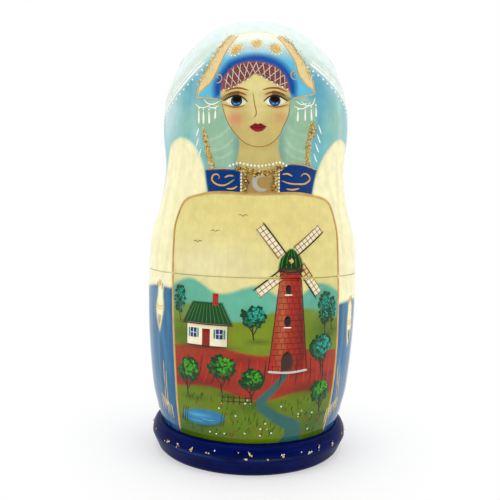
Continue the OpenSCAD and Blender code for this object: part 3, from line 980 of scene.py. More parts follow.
def paint_scene(sheet, ink, features):
    """Country scene on the apron: sky, hills, a ploughed field, a meadow, and what else this doll has."""
    sheet.keep_to(APRON)
    sheet.fill(ink.sky, APRON)
    sheet.glow(ink.cloud, -18, 4, 24, 9, 0.5)
    sheet.glow(ink.ochre, 16, 22, 22, 10, 0.12)
    for tint, top, soft in (
        (ink.far_hill, ((-34, -5), (-24, -1), (-12, -6), (2, -3), (14, -8), (26, -2), (38, -6)), 1.2),
        (ink.hill, ((-34, -13), (-21, -10), (-6, -16), (9, -12), (20, -11), (38, -16)), 1.0),
        (ink.field, ((-34, -27), (-16, -25), (4, -28), (21, -26), (38, -28)), 0.8),
        (ink.meadow, ((-34, -43), (-15, -40.5), (4, -45), (20, -42), (38, -46)), 0.8),
    ):
        sheet.fill(tint, joined(top, ((38, -FOOT),), ((-34, -FOOT),)), soft)
    # Darker patches over hills, field and meadow; the two along the foot of the ploughed field are painted
    # shade
    for glow in (
        (ink.far_hill * 0.7, -30, -8, 9, 6, 0.5), (ink.far_hill * 0.7, 30, -9, 8, 5, 0.5),
        (ink.grass, -28, -22, 12, 5, 0.6), (ink.grass, 30, -20, 10, 6, 0.6),
        (ink.furrow, -20, -39, 14, 2.4, 0.6), (ink.furrow, 26, -41, 12, 2.6, 0.7),
        (ink.furrow, -3, -30, 9, 2, 0.4), (ink.grass, -24, -60, 16, 5, 0.8),
        (ink.grass, 27, -58, 10, 9, 0.8), (ink.grass, 2, -48, 9, 2.4, 0.5),
    ):
        sheet.glow(*glow)
    for u, v, reach, kind in TREES:
        tall = 3.0 if kind == "poplar" else 1.95
        # Painted shadow on the ground beside the foot of each tree
        sheet.glow(ink.dark, u + reach * 0.5, v - reach * tall, reach * 0.9, reach * 0.2, 0.5)
        sheet.glow(ink.roof, u, v, reach * 0.62, reach * (1.3 if kind == "poplar" else 0.55), 1)
    sheet.fill(ink.path, strip(PATH, (9, 7, 5, 3.6, 2.6, 2)), 0.7)
    if "pond" in features:
        sheet.fill(ink.grass, ellipse(*POND, 0.06) * 1.02, 1.6)
        sheet.fill(ink.pond, ellipse(*POND, 0.06), 0.7)
        # Painted highlight across the water of the pond
        sheet.glow(ink.headdress, -20, -52.4, 5, 0.9, 0.5)
    if "mill" in features:
        # Painted shadow along the foot of the mill
        sheet.glow(ink.dark, 17, -34.6, 9, 1.2, 0.6)
        sheet.fill(ink.brick, MILL, 0.5)
        sheet.keep_to(MILL)
        # Painted light on the left of the mill and painted shade on its right
        sheet.glow(ink.ochre, 11, -14, 2, 24, 0.16)
        sheet.glow(ink.furrow, 19.6, -16, 3, 26, 0.85)
        sheet.keep_to(APRON)
        sheet.fill(ink.roof, MILL_CAP, 0.5)
    if "cottage" in features:
        # Painted shadow along the foot of the cottage
        sheet.glow(ink.dark, -16, -25.6, 10, 0.9, 0.6)
        sheet.fill(ink.cloud, COTTAGE_WALL, 0.4)
        # Painted shade on the right of the wall and under the eaves
        sheet.glow(ink.brown, -9.6, -21, 2, 5, 0.3)
        sheet.glow(ink.brown, -17, -17.6, 9, 0.7, 0.5)
        sheet.fill(ink.roof, COTTAGE_ROOF, 0.4)
    sheet.keep_to()


def plinth_painter(ink):
    """Gives the navy of the plinth: streaks of the brush round it, and a painted highlight as a paler line at
    its edge.
    """

    def paint(u, v, angle):
        sheet = Sheet(u, v, ink.plinth)
        streak = np.sin(4.5 * v + 2 * np.sin(3 * angle)) + np.sin(2.6 * v + 1.5 * np.sin(5 * angle + 1))
        sheet.lay(EVERYWHERE, ink.plinth * (1, 3, 2.4), 0.45 * np.clip(streak, 0, 1))
        # Painted highlight: a paler blue line along the arris, wavering a little and stronger in places round
        # it
        edge = -4.4 + 0.12 * np.sin(7 * angle) + 0.1 * np.sin(17 * angle + 2)
        arris_highlight = 0.6 + 0.4 * np.sin(5 * angle + 2 * np.sin(3 * angle))
        sheet.lay(EVERYWHERE, ink.skirt_light, 0.1 * arris_highlight * np.exp(-(((v - edge) / 0.35) ** 2)))
        return sheet.rgb

    return paint


def figure_painter(ink, features):
    """Gives the flat paint of a doll for places on its canvas."""

    def paint(u, v, angle):
        sheet = Sheet(u, v, ink.veil)
        paint_veil(sheet, ink, angle)
        paint_dress(sheet, ink)
        paint_head(sheet, ink)
        paint_scene(sheet, ink, features)
        return sheet.rgb

    return paint


# Marks of the brush


def mirrored(points, u, v, side):
    """Places given from a middle, with the first number outward, set on one side of the face."""
    return np.asarray(points, float) * (side, 1) + (u, v)


def draw_eyes(brush, ink):
    """Eyes with iris and its painted highlights, pupil, lids and lashes, and the brows."""
    for u, v, side in EYES:
        white = (
            (-3.9, -0.4), (-2.2, 1.1), (0, 1.85), (2.3, 1.3), (4.1, 0), (2.3, -1.3), (0, -1.8), (-2.2, -1.5)
        )
        brush.patch(smooth(mirrored(white, u, v, side), 0.4, closed=True), ink.cloud, 1)
        brush.patch(ellipse(u, v - 0.05, 2.2, 2.0), ink.iris, 1.8, edge=ink.iris * 0.2)
        # Painted highlights: two pale blue dabs on the lower part of the iris
        brush.dabs([(u - 0.6, v - 1.1), (u + 0.8, v - 0.9)], 0.55, 0.35, ink.headdress * 0.8, 2.4)
        brush.patch(ellipse(u + 0.1, v + 0.6, 1.85, 1.45), ink.dark * 0.6, 2.6)
        lid = ((-4.1, -0.45), (-2.3, 1.2), (0.1, 1.95), (2.5, 1.4), (4.9, 0.1))
        brush.stroke(mirrored(lid, u, v, side), 0.75, ink.dark, 3, (0.5, 0.4))
        crease = ((-3.6, 2.1), (-1, 3.1), (1.6, 3.0), (4, 2.1))
        brush.stroke(mirrored(crease, u, v, side), 0.95, ink.brown, 1, 0.5)
        under = ((-3, -1.7), (0, -2.3), (2.8, -1.75), (5, -1))
        brush.stroke(mirrored(under, u, v, side), 0.5, ink.brown, 1, 0.5)
        brow = ((-4.4, 3.8), (-1.6, 4.6), (1, 4.7), (4.6, 3.5))
        brush.stroke(mirrored(brow, u, v, side), 0.95, ink.brown, 1.5, 0.6)
        if brush.canvas.scale > FINE_SCALE:
            draw_lashes(brush, ink, u, v, side)


def draw_lashes(brush, ink, u, v, side):
    """Lashes on the outer half of the upper lid, and shorter ones under the eye."""
    for t in np.linspace(0, 1, 12):
        root = np.array((-0.9 + 5.6 * t, 1.95 - 1.85 * t**1.6))
        tip = root + (0.3 + 1.3 * t, 1.9 - 0.6 * t)
        brush.stroke(mirrored((root, tip), u, v, side), 0.28, ink.dark + ink.brown * 0.25, 3, (0.1, 0.9))
    for t in np.linspace(0, 1, 6):
        root = np.array((0.6 + 4 * t, -2.2 + 1.1 * t))
        tip = root + (0.25 + 0.4 * t, -0.65)
        brush.stroke(mirrored((root, tip), u, v, side), 0.18, ink.brown, 1.4, (0.1, 0.9))


def draw_face(brush, ink):
    """Line of the jaw, nose and lips."""
    brush.stroke(JAW, 0.34, ink.brown * 0.5 + ink.skin_dark * 0.4, 1, 0.1)
    nose = ((-1.5, 67), (-0.75, 62.8), (-0.35, 58.4), (-0.9, 57.8))
    brush.stroke(nose, 0.44, ink.brown * 0.55 + ink.skin_dark * 0.4, 1, (0.6, 0.1))
    upper = ((-2.5, 54.5), (-1.2, 55.4), (-0.2, 55.9), (0.6, 55.5), (1.5, 55.9), (2.6, 55.4), (3.9, 54.7),
             (2, 54.4), (0.7, 54.3), (-0.9, 54.4))
    lower = ((-2.2, 54.3), (0.7, 54.3), (3.5, 54.5), (2.4, 53.3), (0.8, 52.8), (-0.9, 53.2))
    brush.patch(smooth(lower, 0.35, closed=True), ink.lips * 1.5, 1.2, edge=ink.lips)
    brush.patch(smooth(upper, 0.35, closed=True), ink.lips, 1.8)
    brush.stroke(((-2.4, 54.4), (0.7, 54.25), (3.7, 54.6)), 0.2, ink.dark, 2.4, 0.3)


def draw_hair(brush, ink):
    """A net of pale crossing strands from the crown of the hair to the parting, over darker locks."""
    for u in (-13, 12):
        for t in np.linspace(0.1, 0.9, 5):
            end = (u * (0.84 + 0.12 * t), 72.2 - 3.8 * t)
            path = ((-0.7, 78.6 - 4.2 * t), (u * 0.5 - 0.4, 77 - 6.2 * t), end)
            brush.stroke(path, 0.4, ink.hair_dark, 1, (0.2, 0.4))
    top = smooth(HAIR_TOP, 0.1)
    foot = smooth(HAIR_FOOT, 0.1)
    fine = brush.canvas.scale > NET_SCALE
    pale = ink.lace * 0.62 + ink.hair * 0.2
    for lean, count in ((-0.04, 12), (0.05, 10)):
        for t in np.linspace(0.1, 0.9, count if fine else 5):
            a = top[int((len(top) - 1) * np.clip(t + lean, 0, 1))]
            b = foot[int((len(foot) - 1) * np.clip(t - lean, 0, 1))]
            brush.stroke((a, b), 0.36 if fine else 0.5, pale, 1.6, 0.3)


def draw_ornaments(brush, ink):
    """Loops and pendants under the headdress, feathers, the clasp, wrist bands, fingers and cuffs."""
    white = ink.lace
    pendants = (
        ((-22.4, 61.2), (-22.3, 56.1)), ((-20.3, 60.6), (-20.2, 55.8)), ((-17.9, 60.4), (-17.7, 55.8)),
        ((-15.3, 60.6), (-15.3, 57.4)), ((15.5, 61), (15.4, 57.2)), ((18.4, 62), (18.7, 57.7)),
        ((21.1, 62.4), (21.5, 58)), ((23.3, 63.4), (23.6, 59.7)),
    )
    for head, foot in pendants:
        brush.stroke((head, foot), 0.95, white, 1.6, (0.8, 0.2))
        brush.dabs([(head[0], head[1] + 0.6)], 0.42, 0.42, white, 2)
    for loop in (
        ((-24.2, 63.6), (-22.4, 62.2), (-19.6, 61.9), (-17, 62.9)),
        ((-20.4, 65), (-18.6, 63.3), (-16, 62.9), (-13.6, 63.9)),
        ((-18.6, 62.1), (-16.2, 61.5), (-13.8, 62.2)),
        ((13.6, 62.7), (16.4, 61.9), (19, 62.8), (20.8, 64.9)),
        ((16.6, 64.6), (19.4, 63.3), (21.8, 64.2), (23, 66.8)),
        ((14.6, 64.5), (17, 63.5), (19.4, 64.3)),
    ):
        brush.stroke(loop, 0.5, white, 1.4, 0.4)
    feathers = (
        (25.4, 55.4, 0.7), (25, 52, 0.75), (24.4, 48.6, 0.75), (23.8, 44.8, 0.7),
        (-22.8, 53.2, -0.5), (-22.8, 49.6, -0.45), (-21.6, 45.6, -0.4),
    )
    for u, v, lean in feathers:
        brush.stroke(((u - lean, v + 1.5), (u + lean * 1.6, v - 1.7)), 0.7, white, 1.4, (0.6, 0.4))
    grey = ink.lace * 0.4 + ink.skin_dark * 0.15
    clasp = ((4.2, 37.2), (1.4, 37.1), (-0.2, 35.3), (0.3, 33.2), (2.4, 31.9), (4.6, 32.3))
    brush.stroke(clasp, 2.3, grey, 1, 0.6)
    for u, v in ((-41.5, -13), (48.5, -18.2)):
        for drop in (0, 1.1):
            band = ((u - 2.8, v + 0.3 - drop), (u, v - 0.5 - drop), (u + 2.7, v + 0.3 - drop))
            brush.stroke(band, 0.5, ink.gold, 1.4, 0.2)
        for step, reach in ((-1.3, 7.4), (-0.2, 8.4), (0.9, 6.6)):
            finger = ((u + step, v - 3.6), (u + step * 0.4 - 0.1, v - reach))
            brush.stroke(finger, 0.26, ink.brown, 1.4, (0.3, 0.6))
        for step, rise in ((-2, 9), (-0.8, 9.8), (0.7, 10), (2, 8.8)):
            cuff = ((u + step, v + rise), (u + step * 0.85, v + rise - 2.6))
            brush.stroke(cuff, 0.42, ink.brown, 1.4, (0.5, 0.6))


def draw_lace(brush, ink):
    """Lace of the veil: two lines and threads along its edge, dots under it, and the scalloped hem behind."""
    fine = brush.canvas.scale > FINE_SCALE
    for edge in (LACE_LEFT, LACE_RIGHT):
        line = smooth(edge[1:], 2.9)
        ahead = np.gradient(line, axis=0)
        drop = np.column_stack([-ahead[:, 1], ahead[:, 0]])
        drop *= np.where(drop[:, 1:] > 0, -1, 1) / np.linalg.norm(drop, axis=1)[:, None]
        brush.stroke(line, 1.0, ink.lace, 1.6, 0.02)
        brush.stroke(line - drop * 1.7, 0.6, ink.lace, 1.4, 0.02)
        brush.dabs(line + drop * 2.1, 0.62, 0.5, ink.lace, 1.8, sides=6)
        if fine:
            for k in range(0, len(line) - 3, 2):
                brush.stroke(line[k : k + 4] - drop[k : k + 4] * 3.2, 0.34, ink.lace, 1.2, 0.5)
                thread = (line[k] - drop[k] * 4.6, line[k + 2] - drop[k + 2] * 2.2)
                brush.stroke(thread, 0.3, ink.lace, 1, (0.4, 0.6))
    behind = 2 * brush.canvas.back(VEIL_HEM)
    girth = np.linspace(58, behind - 56, 46 if fine else 24)
    for a, b in zip(girth[:-1], girth[1:]):
        path = ((a, VEIL_HEM + 0.8), ((a + b) / 2, VEIL_HEM - 1.9), (b, VEIL_HEM + 0.8))
        brush.stroke(path, 0.6, ink.lace, 1.4, 0.15)
    middles = (girth[:-1] + girth[1:]) / 2
    brush.stroke(((girth[0], VEIL_HEM + 1.2), (girth[-1], VEIL_HEM + 1.2)), 0.7, ink.lace, 1.6, 0.01)
    dots = np.column_stack([middles, np.full(len(middles), VEIL_HEM + 3)])
    brush.dabs(dots, 0.5, 0.5, ink.lace, 1.6, sides=6)
    if fine:
        draw_sprigs(brush, ink)


def draw_sprigs(brush, ink):
    """Sprigs strewn over the back of the veil, white, and over the crown, pale teal.

    Each is a stem, pairs of leaves and a round flower. Those past the middle of the back are placed from the
    other side, so that both sides lean alike.
    """
    teal = ink.veil * 0.55 + ink.veil_pale * 0.45
    for v, first, count, tint in (
        (18, 66, 7, ink.lace), (33, 74, 6, ink.lace), (47, 66, 7, ink.lace),
        (71, 54, 7, teal), (87, 42, 5, teal),
    ):
        behind = brush.canvas.back(v)
        for u in np.linspace(first, 2 * behind - first, count):
            u -= 2 * behind * (u > behind)
            brush.stroke(((u, v - 4), (u + 0.7, v), (u, v + 3.4)), 0.4, tint, 1.2, (0.2, 0.4))
            for rise in (-2.4, -0.4, 1.6):
                for side in (-1, 1):
                    tip = (u + side * 2.4, v + rise + 1.9)
                    leaf = ((u + 0.4, v + rise), (u + side * 1.5, v + rise + 0.7), tip)
                    brush.stroke(leaf, 0.7, tint, 1.2, (0.3, 0.7))
            brush.dabs(ellipse(u, v + 4.8, 1.0, 1.0, count=6), 0.55, 0.55, tint, 1.4, sides=6)
            brush.dabs([(u, v + 4.8)], 0.5, 0.5, ink.ochre, 2.4, sides=6)


def draw_scene(brush, ink, features):
    """Country scene: furrows, trees, grass and flowers, and the mill, cottage and pond where it has them."""
    fine = brush.canvas.scale > FINE_SCALE
    rng = np.random.default_rng(11)
    for u, v in ((-21, 12), (-14, 16), (-4, 22)):
        for lean in (-1, 1):
            wing = ((u, v), (u + lean * 0.9, v + 0.75), (u + lean * 1.9, v + 0.35))
            brush.stroke(wing, 0.26, ink.trunk, 1, (0.1, 0.7))
    for k, u in enumerate(np.linspace(-27, 32, 21 if fine else 9)):
        path = ((u, -28.6 - 0.5 * (k % 3)), (u * 1.03 - 0.4, -35), (u * 1.06 - 1.4, -39.4))
        brush.stroke(path, 0.5, ink.furrow if k % 2 else ink.brick * 1.5, 1, 0.4)
    if "cottage" in features:
        draw_cottage(brush, ink)
    if "mill" in features:
        draw_mill(brush, ink, fine)
    if "pond" in features:
        # Painted highlights: pale ripple lines on the pond's water
        for u, v, reach in ((-20, -52, 4), (-15.5, -53.6, 3), (-20.5, -54.6, 3.4)):
            brush.stroke(((u - reach, v), (u, v - 0.4), (u + reach, v)), 0.3, ink.headdress, 1, 0.5)
        for u in (-27.2, -26, -25, -10.6, -9.6):
            brush.stroke(((u, -56), (u + 0.3, -52.5), (u + 0.9, -49.6)), 0.34, ink.grass, 1.4, (0.1, 0.8))
    if fine:
        for (u, v), lean in zip(on_meadow(rng, 220, features), rng.uniform(-0.8, 0.8, 220)):
            tint = ink.grass if lean > -0.3 else ink.leaf * 1.1
            brush.stroke(((u, v), (u + lean, v + 1.7)), 0.3, tint, 1, (0.1, 0.8))
    for count, tint in ((24, ink.brick * 1.3), (24, ink.lace), (14, ink.ochre)):
        brush.dabs(on_meadow(rng, count, features), 0.42, 0.42, tint, 2, sides=6)
    for u, v, reach, kind in TREES:
        draw_tree(brush, ink, u, v, reach, kind, rng)
    if fine:
        for u in np.linspace(-10, 0.5, 6):
            brush.stroke(((u, -46.6), (u, -43)), 0.4, ink.trunk, 1.6, 0.1)
        for v in (-43.9, -45.4):
            brush.stroke(((-10.6, v), (1.2, v)), 0.3, ink.trunk, 1.4, 0.1)


def on_meadow(rng, count, features):
    """Places strewn over the meadow, off the path and the pond."""
    spots = np.column_stack([rng.uniform(-26, 30, count), rng.uniform(-60, -44.5, count)])
    path = smooth(PATH, 0.5)
    clear = np.linalg.norm(spots[:, None] - path[None], axis=2).min(1) > 3.6
    if "pond" in features:
        u, v, half_u, half_v = POND
        clear &= ((spots[:, 0] - u) / (half_u + 1)) ** 2 + ((spots[:, 1] - v) / (half_v + 1.2)) ** 2 > 1
    return spots[clear]


def draw_tree(brush, ink, u, v, reach, kind, rng):
    """A tree of dabs on a forked trunk: dark leaves first, then lit ones, the brightest to one side."""
    tall = 2.0 if kind == "poplar" else 0.85
    foot = v - reach * (tall + 1.0)
    trunk = ((u + 0.4, foot), (u - 0.2, v - reach * 1.1), (u, v))
    brush.stroke(trunk, 0.13 * reach, ink.trunk, 1.2, (0.02, 0.5))
    if kind == "round":
        for lean in (-1, 1):
            fork = v - reach * (1.35 + 0.12 * lean)
            path = ((u, fork), (u + lean * reach * 0.32, v - reach * 0.8), (u + lean * reach * 0.5, v - 0.2))
            brush.stroke(path, 0.09 * reach, ink.trunk, 1.2, (0.1, 0.5))
    lit = ink.teal if v > -30 else ink.leaf
    for count, tint, size, shift, spread, level in (
        (56, ink.roof, 0.27, 0, 1.0, 1.6), (24, ink.roof * 0.6 + lit * 0.3, 0.2, 0.06, 0.9, 2.2),
        (18, lit * 0.8, 0.19, 0.16, 0.7, 2.8), (8, lit * 1.3, 0.13, 0.22, 0.6, 3.4),
    ):
        angle, share = rng.uniform(0, 2 * np.pi, count), spread * np.sqrt(rng.uniform(0, 0.9, count))
        spots = np.column_stack([share * np.cos(angle) + shift, shift + tall * share * np.sin(angle)]) * reach
        turn = rng.uniform(0, np.pi, count)
        brush.dabs(spots + (u, v), size * reach, size * reach * 0.7, tint, level, turn=turn, sides=7)


def draw_cottage(brush, ink):
    """Cottage: a chimney, thatch lines on its roof, two windows with shutters, and a door."""
    brush.patch(np.array(((-14.4, -10.6), (-14.4, -6), (-12.2, -6), (-12.2, -10.6))), ink.brick, 1.4)
    for t in np.linspace(0.05, 0.95, 11):
        thatch = ((-22.2 + 11.4 * t, -9.8), (-26.4 + 19.4 * t, -17.2))
        brush.stroke(thatch, 0.34, ink.leaf * 0.7, 1.4, (0.1, 0.3))
    brush.stroke(((-27, -17.5), (-6.6, -17.5)), 0.5, ink.trunk, 1.6, 0.05)
    for u in (-22, -11.6):
        pane = ((u - 1.3, -22.6), (u - 1.3, -19), (u + 1.3, -19), (u + 1.3, -22.6))
        brush.patch(np.array(pane), ink.strap, 1.2)
        for side in (-1.9, 1.9):
            brush.stroke(((u + side, -19), (u + side, -22.6)), 0.8, ink.teal * 0.7, 1.4, 0.02)
        brush.stroke(((u, -19), (u, -22.6)), 0.26, ink.lace, 2, 0.1)
        brush.stroke(((u - 1.3, -20.8), (u + 1.3, -20.8)), 0.26, ink.lace, 2, 0.1)
    brush.patch(np.array(((-18.4, -25.4), (-18.4, -19), (-15.2, -19), (-15.2, -25.4))), ink.brick * 0.6, 1.2)
    brush.stroke(((-25.2, -25.5), (-8.3, -25.5)), 0.5, ink.trunk, 1.4, 0.05)
    for u in (-25, -8.5):
        brush.stroke(((u, -17.6), (u, -25.4)), 0.36, ink.trunk, 1.4, 0.05)


def draw_mill(brush, ink, fine):
    """Windmill: outlines, courses of brick, door and windows, cap lines, and four lattice sails."""
    hub = np.array(MILL_HUB)
    axis = MILL_HUB[0]
    for side in (-1, 1):
        brush.stroke(((axis + side * 7.6, -34), (axis + side * 3.8, 3)), 0.36, ink.dark, 1.2, 0.02)
    if fine:
        for k, v in enumerate(np.linspace(-32, 1.4, 17)):
            half = 7.2 - 0.1027 * (v + 34)  # inside the leaning walls
            brush.stroke(((axis - half, v), (axis + half, v)), 0.2, ink.furrow, 1, 0.1)
            for u in np.arange(-half + 1 + (k % 2), half - 0.5, 2.2):
                brush.stroke(((axis + u, v), (axis + u, v - 1.9)), 0.16, ink.furrow, 1, 0.1)
    for v, half_u, half_v in ((-4, 1.1, 1.7), (-15.5, 1.3, 2)):
        brush.patch(ellipse(13.2, v, half_u, half_v, count=16), ink.dark, 1.4)
        brush.stroke(((11.6, v - half_v - 0.3), (14.8, v - half_v - 0.3)), 0.5, ink.lace, 1.6, 0.1)
    door = smooth(((11.4, -33.8), (11.4, -28.4), (13.4, -26.4), (15.4, -28.4), (15.4, -33.8)), 0.6)
    brush.patch(door, ink.trunk, 1.4)
    brush.stroke(((6.2, -33.9), (axis, -34.5), (21.8, -33.9)), 1.1, ink.lace * 0.6, 1.6, 0.03)
    brush.stroke(((9, 2.6), (axis, 2), (19, 2.6)), 0.8, ink.trunk, 1.6, 0.05)
    for t in (-0.8, -0.4, 0, 0.4, 0.8):
        rib = ((axis + 4.8 * t, 3.4), (axis + 3.6 * t, 7.6), (axis + 1.4 * t, 10))
        brush.stroke(rib, 0.4, ink.leaf * 0.8, 1.6, (0.1, 0.5))
    for angle in np.radians((38, 128, 218, 308)):
        along = np.array((np.cos(angle), np.sin(angle)))
        side = np.array((-np.sin(angle), np.cos(angle)))
        corners = np.array([hub + along * a + side * b for a, b in SAIL])
        brush.patch(even(np.vstack([corners, corners[:1]]), 1.2)[:-1], ink.cloud, 2)
        for t in np.linspace(4, 16.6, 8):
            rung = (hub + along * t + side * 0.2, hub + along * t + side * 3.4)
            brush.stroke(rung, 0.28, ink.brick * 0.6, 3, 0.1)
        for reach in (1.8, 3.4):
            rail = (hub + along * 3.4 + side * reach, hub + along * 17 + side * reach)
            brush.stroke(rail, 0.3, ink.brick * 0.6, 3, 0.1)
        brush.stroke((hub, hub + along * 17.5), 0.65, ink.trunk, 3.4, (0.05, 0.2))
    brush.dabs([MILL_HUB], 1.1, 1.1, ink.ochre, 4.4)


# Gilding


def gild_headdress(brush, ink):
    """Edge lines and dots of the headdress, its grainy medallions, and its curls."""
    for outer, inner in ((SIDE_LEFT, INNER_LEFT), (SIDE_RIGHT, INNER_RIGHT)):
        brush.stroke(outer, 0.6, ink.gold, 1.6, (0.05, 0.6))
        brush.stroke(inner, 0.5, ink.gold, 1.4, (0.05, 0.6))
        toward = np.sign(inner[3][0] - outer[3][0])
        dots = smooth(outer[1:], 1.1) + (toward * 0.9, 0)
        brush.dabs(dots, 0.42, 0.42, ink.sleeve * 0.5 + ink.gold * 0.6, 1.6, sides=6)
    brush.stroke((TIP_LEFT, (-18.5, 65.3), (-13.6, 64.3)), 0.6, ink.gold, 1.6, (0.1, 0.2))
    brush.stroke((TIP_RIGHT, (17.6, 66.6), (12.8, 65.2)), 0.6, ink.gold, 1.6, (0.1, 0.2))
    rng = np.random.default_rng(31)
    for u, v, half_u, half_v, turn in MEDALLIONS:
        brush.patch(ellipse(u, v, half_u, half_v, turn), ink.gold, 1.2, edge=ink.sleeve)
        for share, count in ((0.78, 12), (0.42, 7)):
            ring = ellipse(u, v, half_u * share, half_v * share, turn, count=count)
            brush.dabs(ring + rng.normal(0, 0.1, ring.shape), 0.36, 0.36, ink.sleeve, 2.2, sides=6)
    for u, v, side in ((-14.1, 73.2, -1), (13.4, 75.2, 1)):
        curl = ((1.2, -2.6), (-0.4, -2.2), (-1.0, -0.6), (-0.2, 0.7), (0.9, 0.4), (0.9, -0.5), (0.2, -0.6))
        brush.stroke(mirrored(curl, u, v, side), 0.5, ink.gold, 1.8, (0.3, 0.4))


def gild_dress(brush, ink):
    """Edges of plastron and straps, their scrolls, and the gold ground of the glitter straps."""
    for path in (
        ((-19.3, 39.4), (-12, 39.6), (-5.2, 39.4)), ((8.8, 39.9), (11.8, 41.6), (18, 41.8), (25, 40.4)),
        ((-5, 39.2), (-4.9, 35), (-4.9, 31)), ((8.8, 39.6), (8.9, 35), (8.9, 31.2)),
    ):
        brush.stroke(path, 0.5, ink.gold, 1.6, 0.05)
    for scroll in (
        (
            (-7.3, 35.6), (-11.5, 33.4), (-14.8, 34.1), (-16.2, 35.6), (-15.7, 37.2), (-14, 37.5),
            (-13.2, 36.5), (-13.5, 35.7),
        ),
        ((-11.2, 36.3), (-9.6, 37), (-7.6, 36.9)),
        ((-10.4, 32.2), (-8, 32.2), (-6.2, 33.2)),
        (
            (9.7, 35.6), (12.4, 34.8), (16.1, 34.6), (19.8, 35.1), (21.6, 36.8), (20.6, 38.3),
            (18.6, 38.5), (17.4, 37.4),
        ),
        ((9.9, 37.9), (12, 38.2), (14, 37.4)),
        ((11.5, 32.6), (14, 32.4), (17, 33)),
    ):
        brush.stroke(scroll, 0.8, ink.gold, 1.6, 0.4)
    for path in (GLITTER_LEFT, GLITTER_RIGHT):
        brush.stroke(path, 2.2, ink.gold * (0.85, 0.9, 0.7), 1, (0.5, 0.15))


def gild_frame(brush, ink):
    """Line round the apron."""
    brush.stroke(FRAME, 1.2, ink.gold * 0.85, 2.4, 0.004)


def gild_skirt(brush, ink):
    """Sprays of long thin leaves over the skirt: a pair beside the apron, and rows round the back."""
    for u, v in ((-37.2, -42), (40.7, -42)):
        for du, dv, reach, lean in (
            (-1.4, 8, 10, 0.8), (0.4, 4, 9, 0.4), (-0.8, -2, 9, 1.0), (1.0, -4, 8, -0.4)
        ):
            root = np.array((u + du, v + dv))
            path = (root, root + (lean * 0.2, -reach * 0.6), root + (lean, -reach))
            brush.stroke(path, 0.5, ink.gold, 1.2, (0.6, 0.5))
        side = np.sign(u)
        for k in range(8):
            root = np.array((side * (41.6 - 1.1 * k), -47.5 - 0.5 * k))
            path = (root, root + (side * -0.7, -3.4), root + (side * (0.9 - 0.3 * k), -6.6))
            brush.stroke(path, 0.32, ink.gold if k % 3 == 0 else ink.sleeve, 1.2, (0.3, 0.7))
    for v, first in ((-14, 70), (-38, 66)):
        wide = 2 * brush.canvas.back(v)
        for u in np.linspace(first, wide - first, 9 if brush.canvas.scale > FINE_SCALE else 5):
            brush.stroke(((u, v + 9), (u + 0.9, v), (u - 0.5, v - 9)), 0.42, ink.gold_dark, 1, (0.2, 0.4))
            for rise in (-6, -2.5, 1, 4.5):
                for side in (-1, 1):
                    tip = (u + side * 3.4, v + rise + 3.6)
                    leaf = ((u + 0.3, v + rise), (u + side * 2.2, v + rise + 1.2), tip)
                    brush.stroke(leaf, 0.85, ink.gold, 1.2, (0.4, 0.6))


# Pearls and glitter


def set_pearls(brush, ink):
    """Pearls of the necklace, the headdress, the hairline, the plastron and the skirt."""
    size = bpy.context.scene.doll_sizes.pearl / MM
    fine = brush.canvas.scale > FINE_SCALE
    cream = ink.lace * 0.7 + ink.sleeve * 0.3
    necklace = ((-9.2, 40.6), (-6.2, 41.6), (-2, 40.9), (2, 40.7), (6.2, 41.5), (9.2, 42.2), (11.4, 41.2))
    for path, gap, share in (
        (necklace, 1.35, 1.0),
        (((-4.9, 38.6), (-4.9, 31.6)), 1.3, 0.85),
        (((8.7, 39), (8.8, 31.6)), 1.3, 0.85),
        (((1.6, 72.7), (6.2, 70.5), (11.2, 68.6)), 2.1, 0.7),
        (((-3.4, 71.7), (-8.6, 68.8), (-12.2, 67.9)), 2.1, 0.6),
    ):
        line = smooth(path, gap) if len(path) > 2 else even(np.array(path), gap)
        brush.dabs(line, size * share, size * share, cream, height=size * share * 0.8, sides=8 if fine else 6)
    for u, v, half_u, half_v, turn in MEDALLIONS:
        ring = ellipse(u, v, half_u + 0.15, half_v + 0.15, turn, count=13)
        brush.dabs(ring, size * 0.72, size * 0.72, cream, height=size * 0.55, sides=6)
    foot = np.linspace(46, 2 * brush.canvas.back(-57) - 46, 44)
    hem = np.column_stack([foot, np.full(len(foot), -57)])
    brush.dabs(hem, size * 0.7, size * 0.7, cream, height=size * 0.5, sides=6)


def scatter(path, width, count, seed):
    """Places strewn along a path, thickest in its middle."""
    rng = np.random.default_rng(seed)
    line = smooth(path, 0.2)
    spots = line[rng.integers(0, len(line), count)]
    return spots + rng.normal(0, width / 4, (count, 2))


def strew_glitter(brush, ink):
    """Gold glitter on the shoulder straps and the edges of the headdress, and darker under the necklace."""
    size = bpy.context.scene.doll_sizes.flake / MM
    yellow = ink.gold * (1, 1.15, 1)
    bright = (yellow, ink.sleeve, ink.gold_dark, ink.ochre * 1.1, yellow * 1.15)
    places = np.vstack([
        scatter(GLITTER_LEFT, 2.2, 130, 3), scatter(GLITTER_RIGHT, 2.2, 150, 4),
        scatter(((22.2, 56.2), (22.6, 54.8), (22.4, 53.6)), 2.2, 50, 5),
    ])
    brush.flakes(places, size, bright, 7)
    places = np.vstack([scatter(SIDE_LEFT[1:], 3.2, 90, 13), scatter(SIDE_RIGHT[1:], 3.2, 90, 14)])
    brush.flakes(places, size * 0.85, (ink.sleeve * 1.05, ink.lace, ink.lace, yellow * 1.25), 12)
    deep = (yellow * 1.15, yellow, ink.gold_dark, ink.gold_dark * 0.6, ink.brown * 0.55, ink.sleeve)
    places = np.vstack([
        scatter(((-6.4, 40), (-2.4, 38.7), (1.8, 38.2), (6, 38.7), (9.8, 40)), 2.4, 190, 6),
        scatter(((-3.4, 38), (-3.3, 35), (-3.2, 31.6)), 1.7, 90, 8),
        scatter(((7.2, 38), (7.2, 35), (7.2, 31.6)), 1.7, 90, 9),
    ])
    brush.flakes(places, size, deep, 10)


# Materials


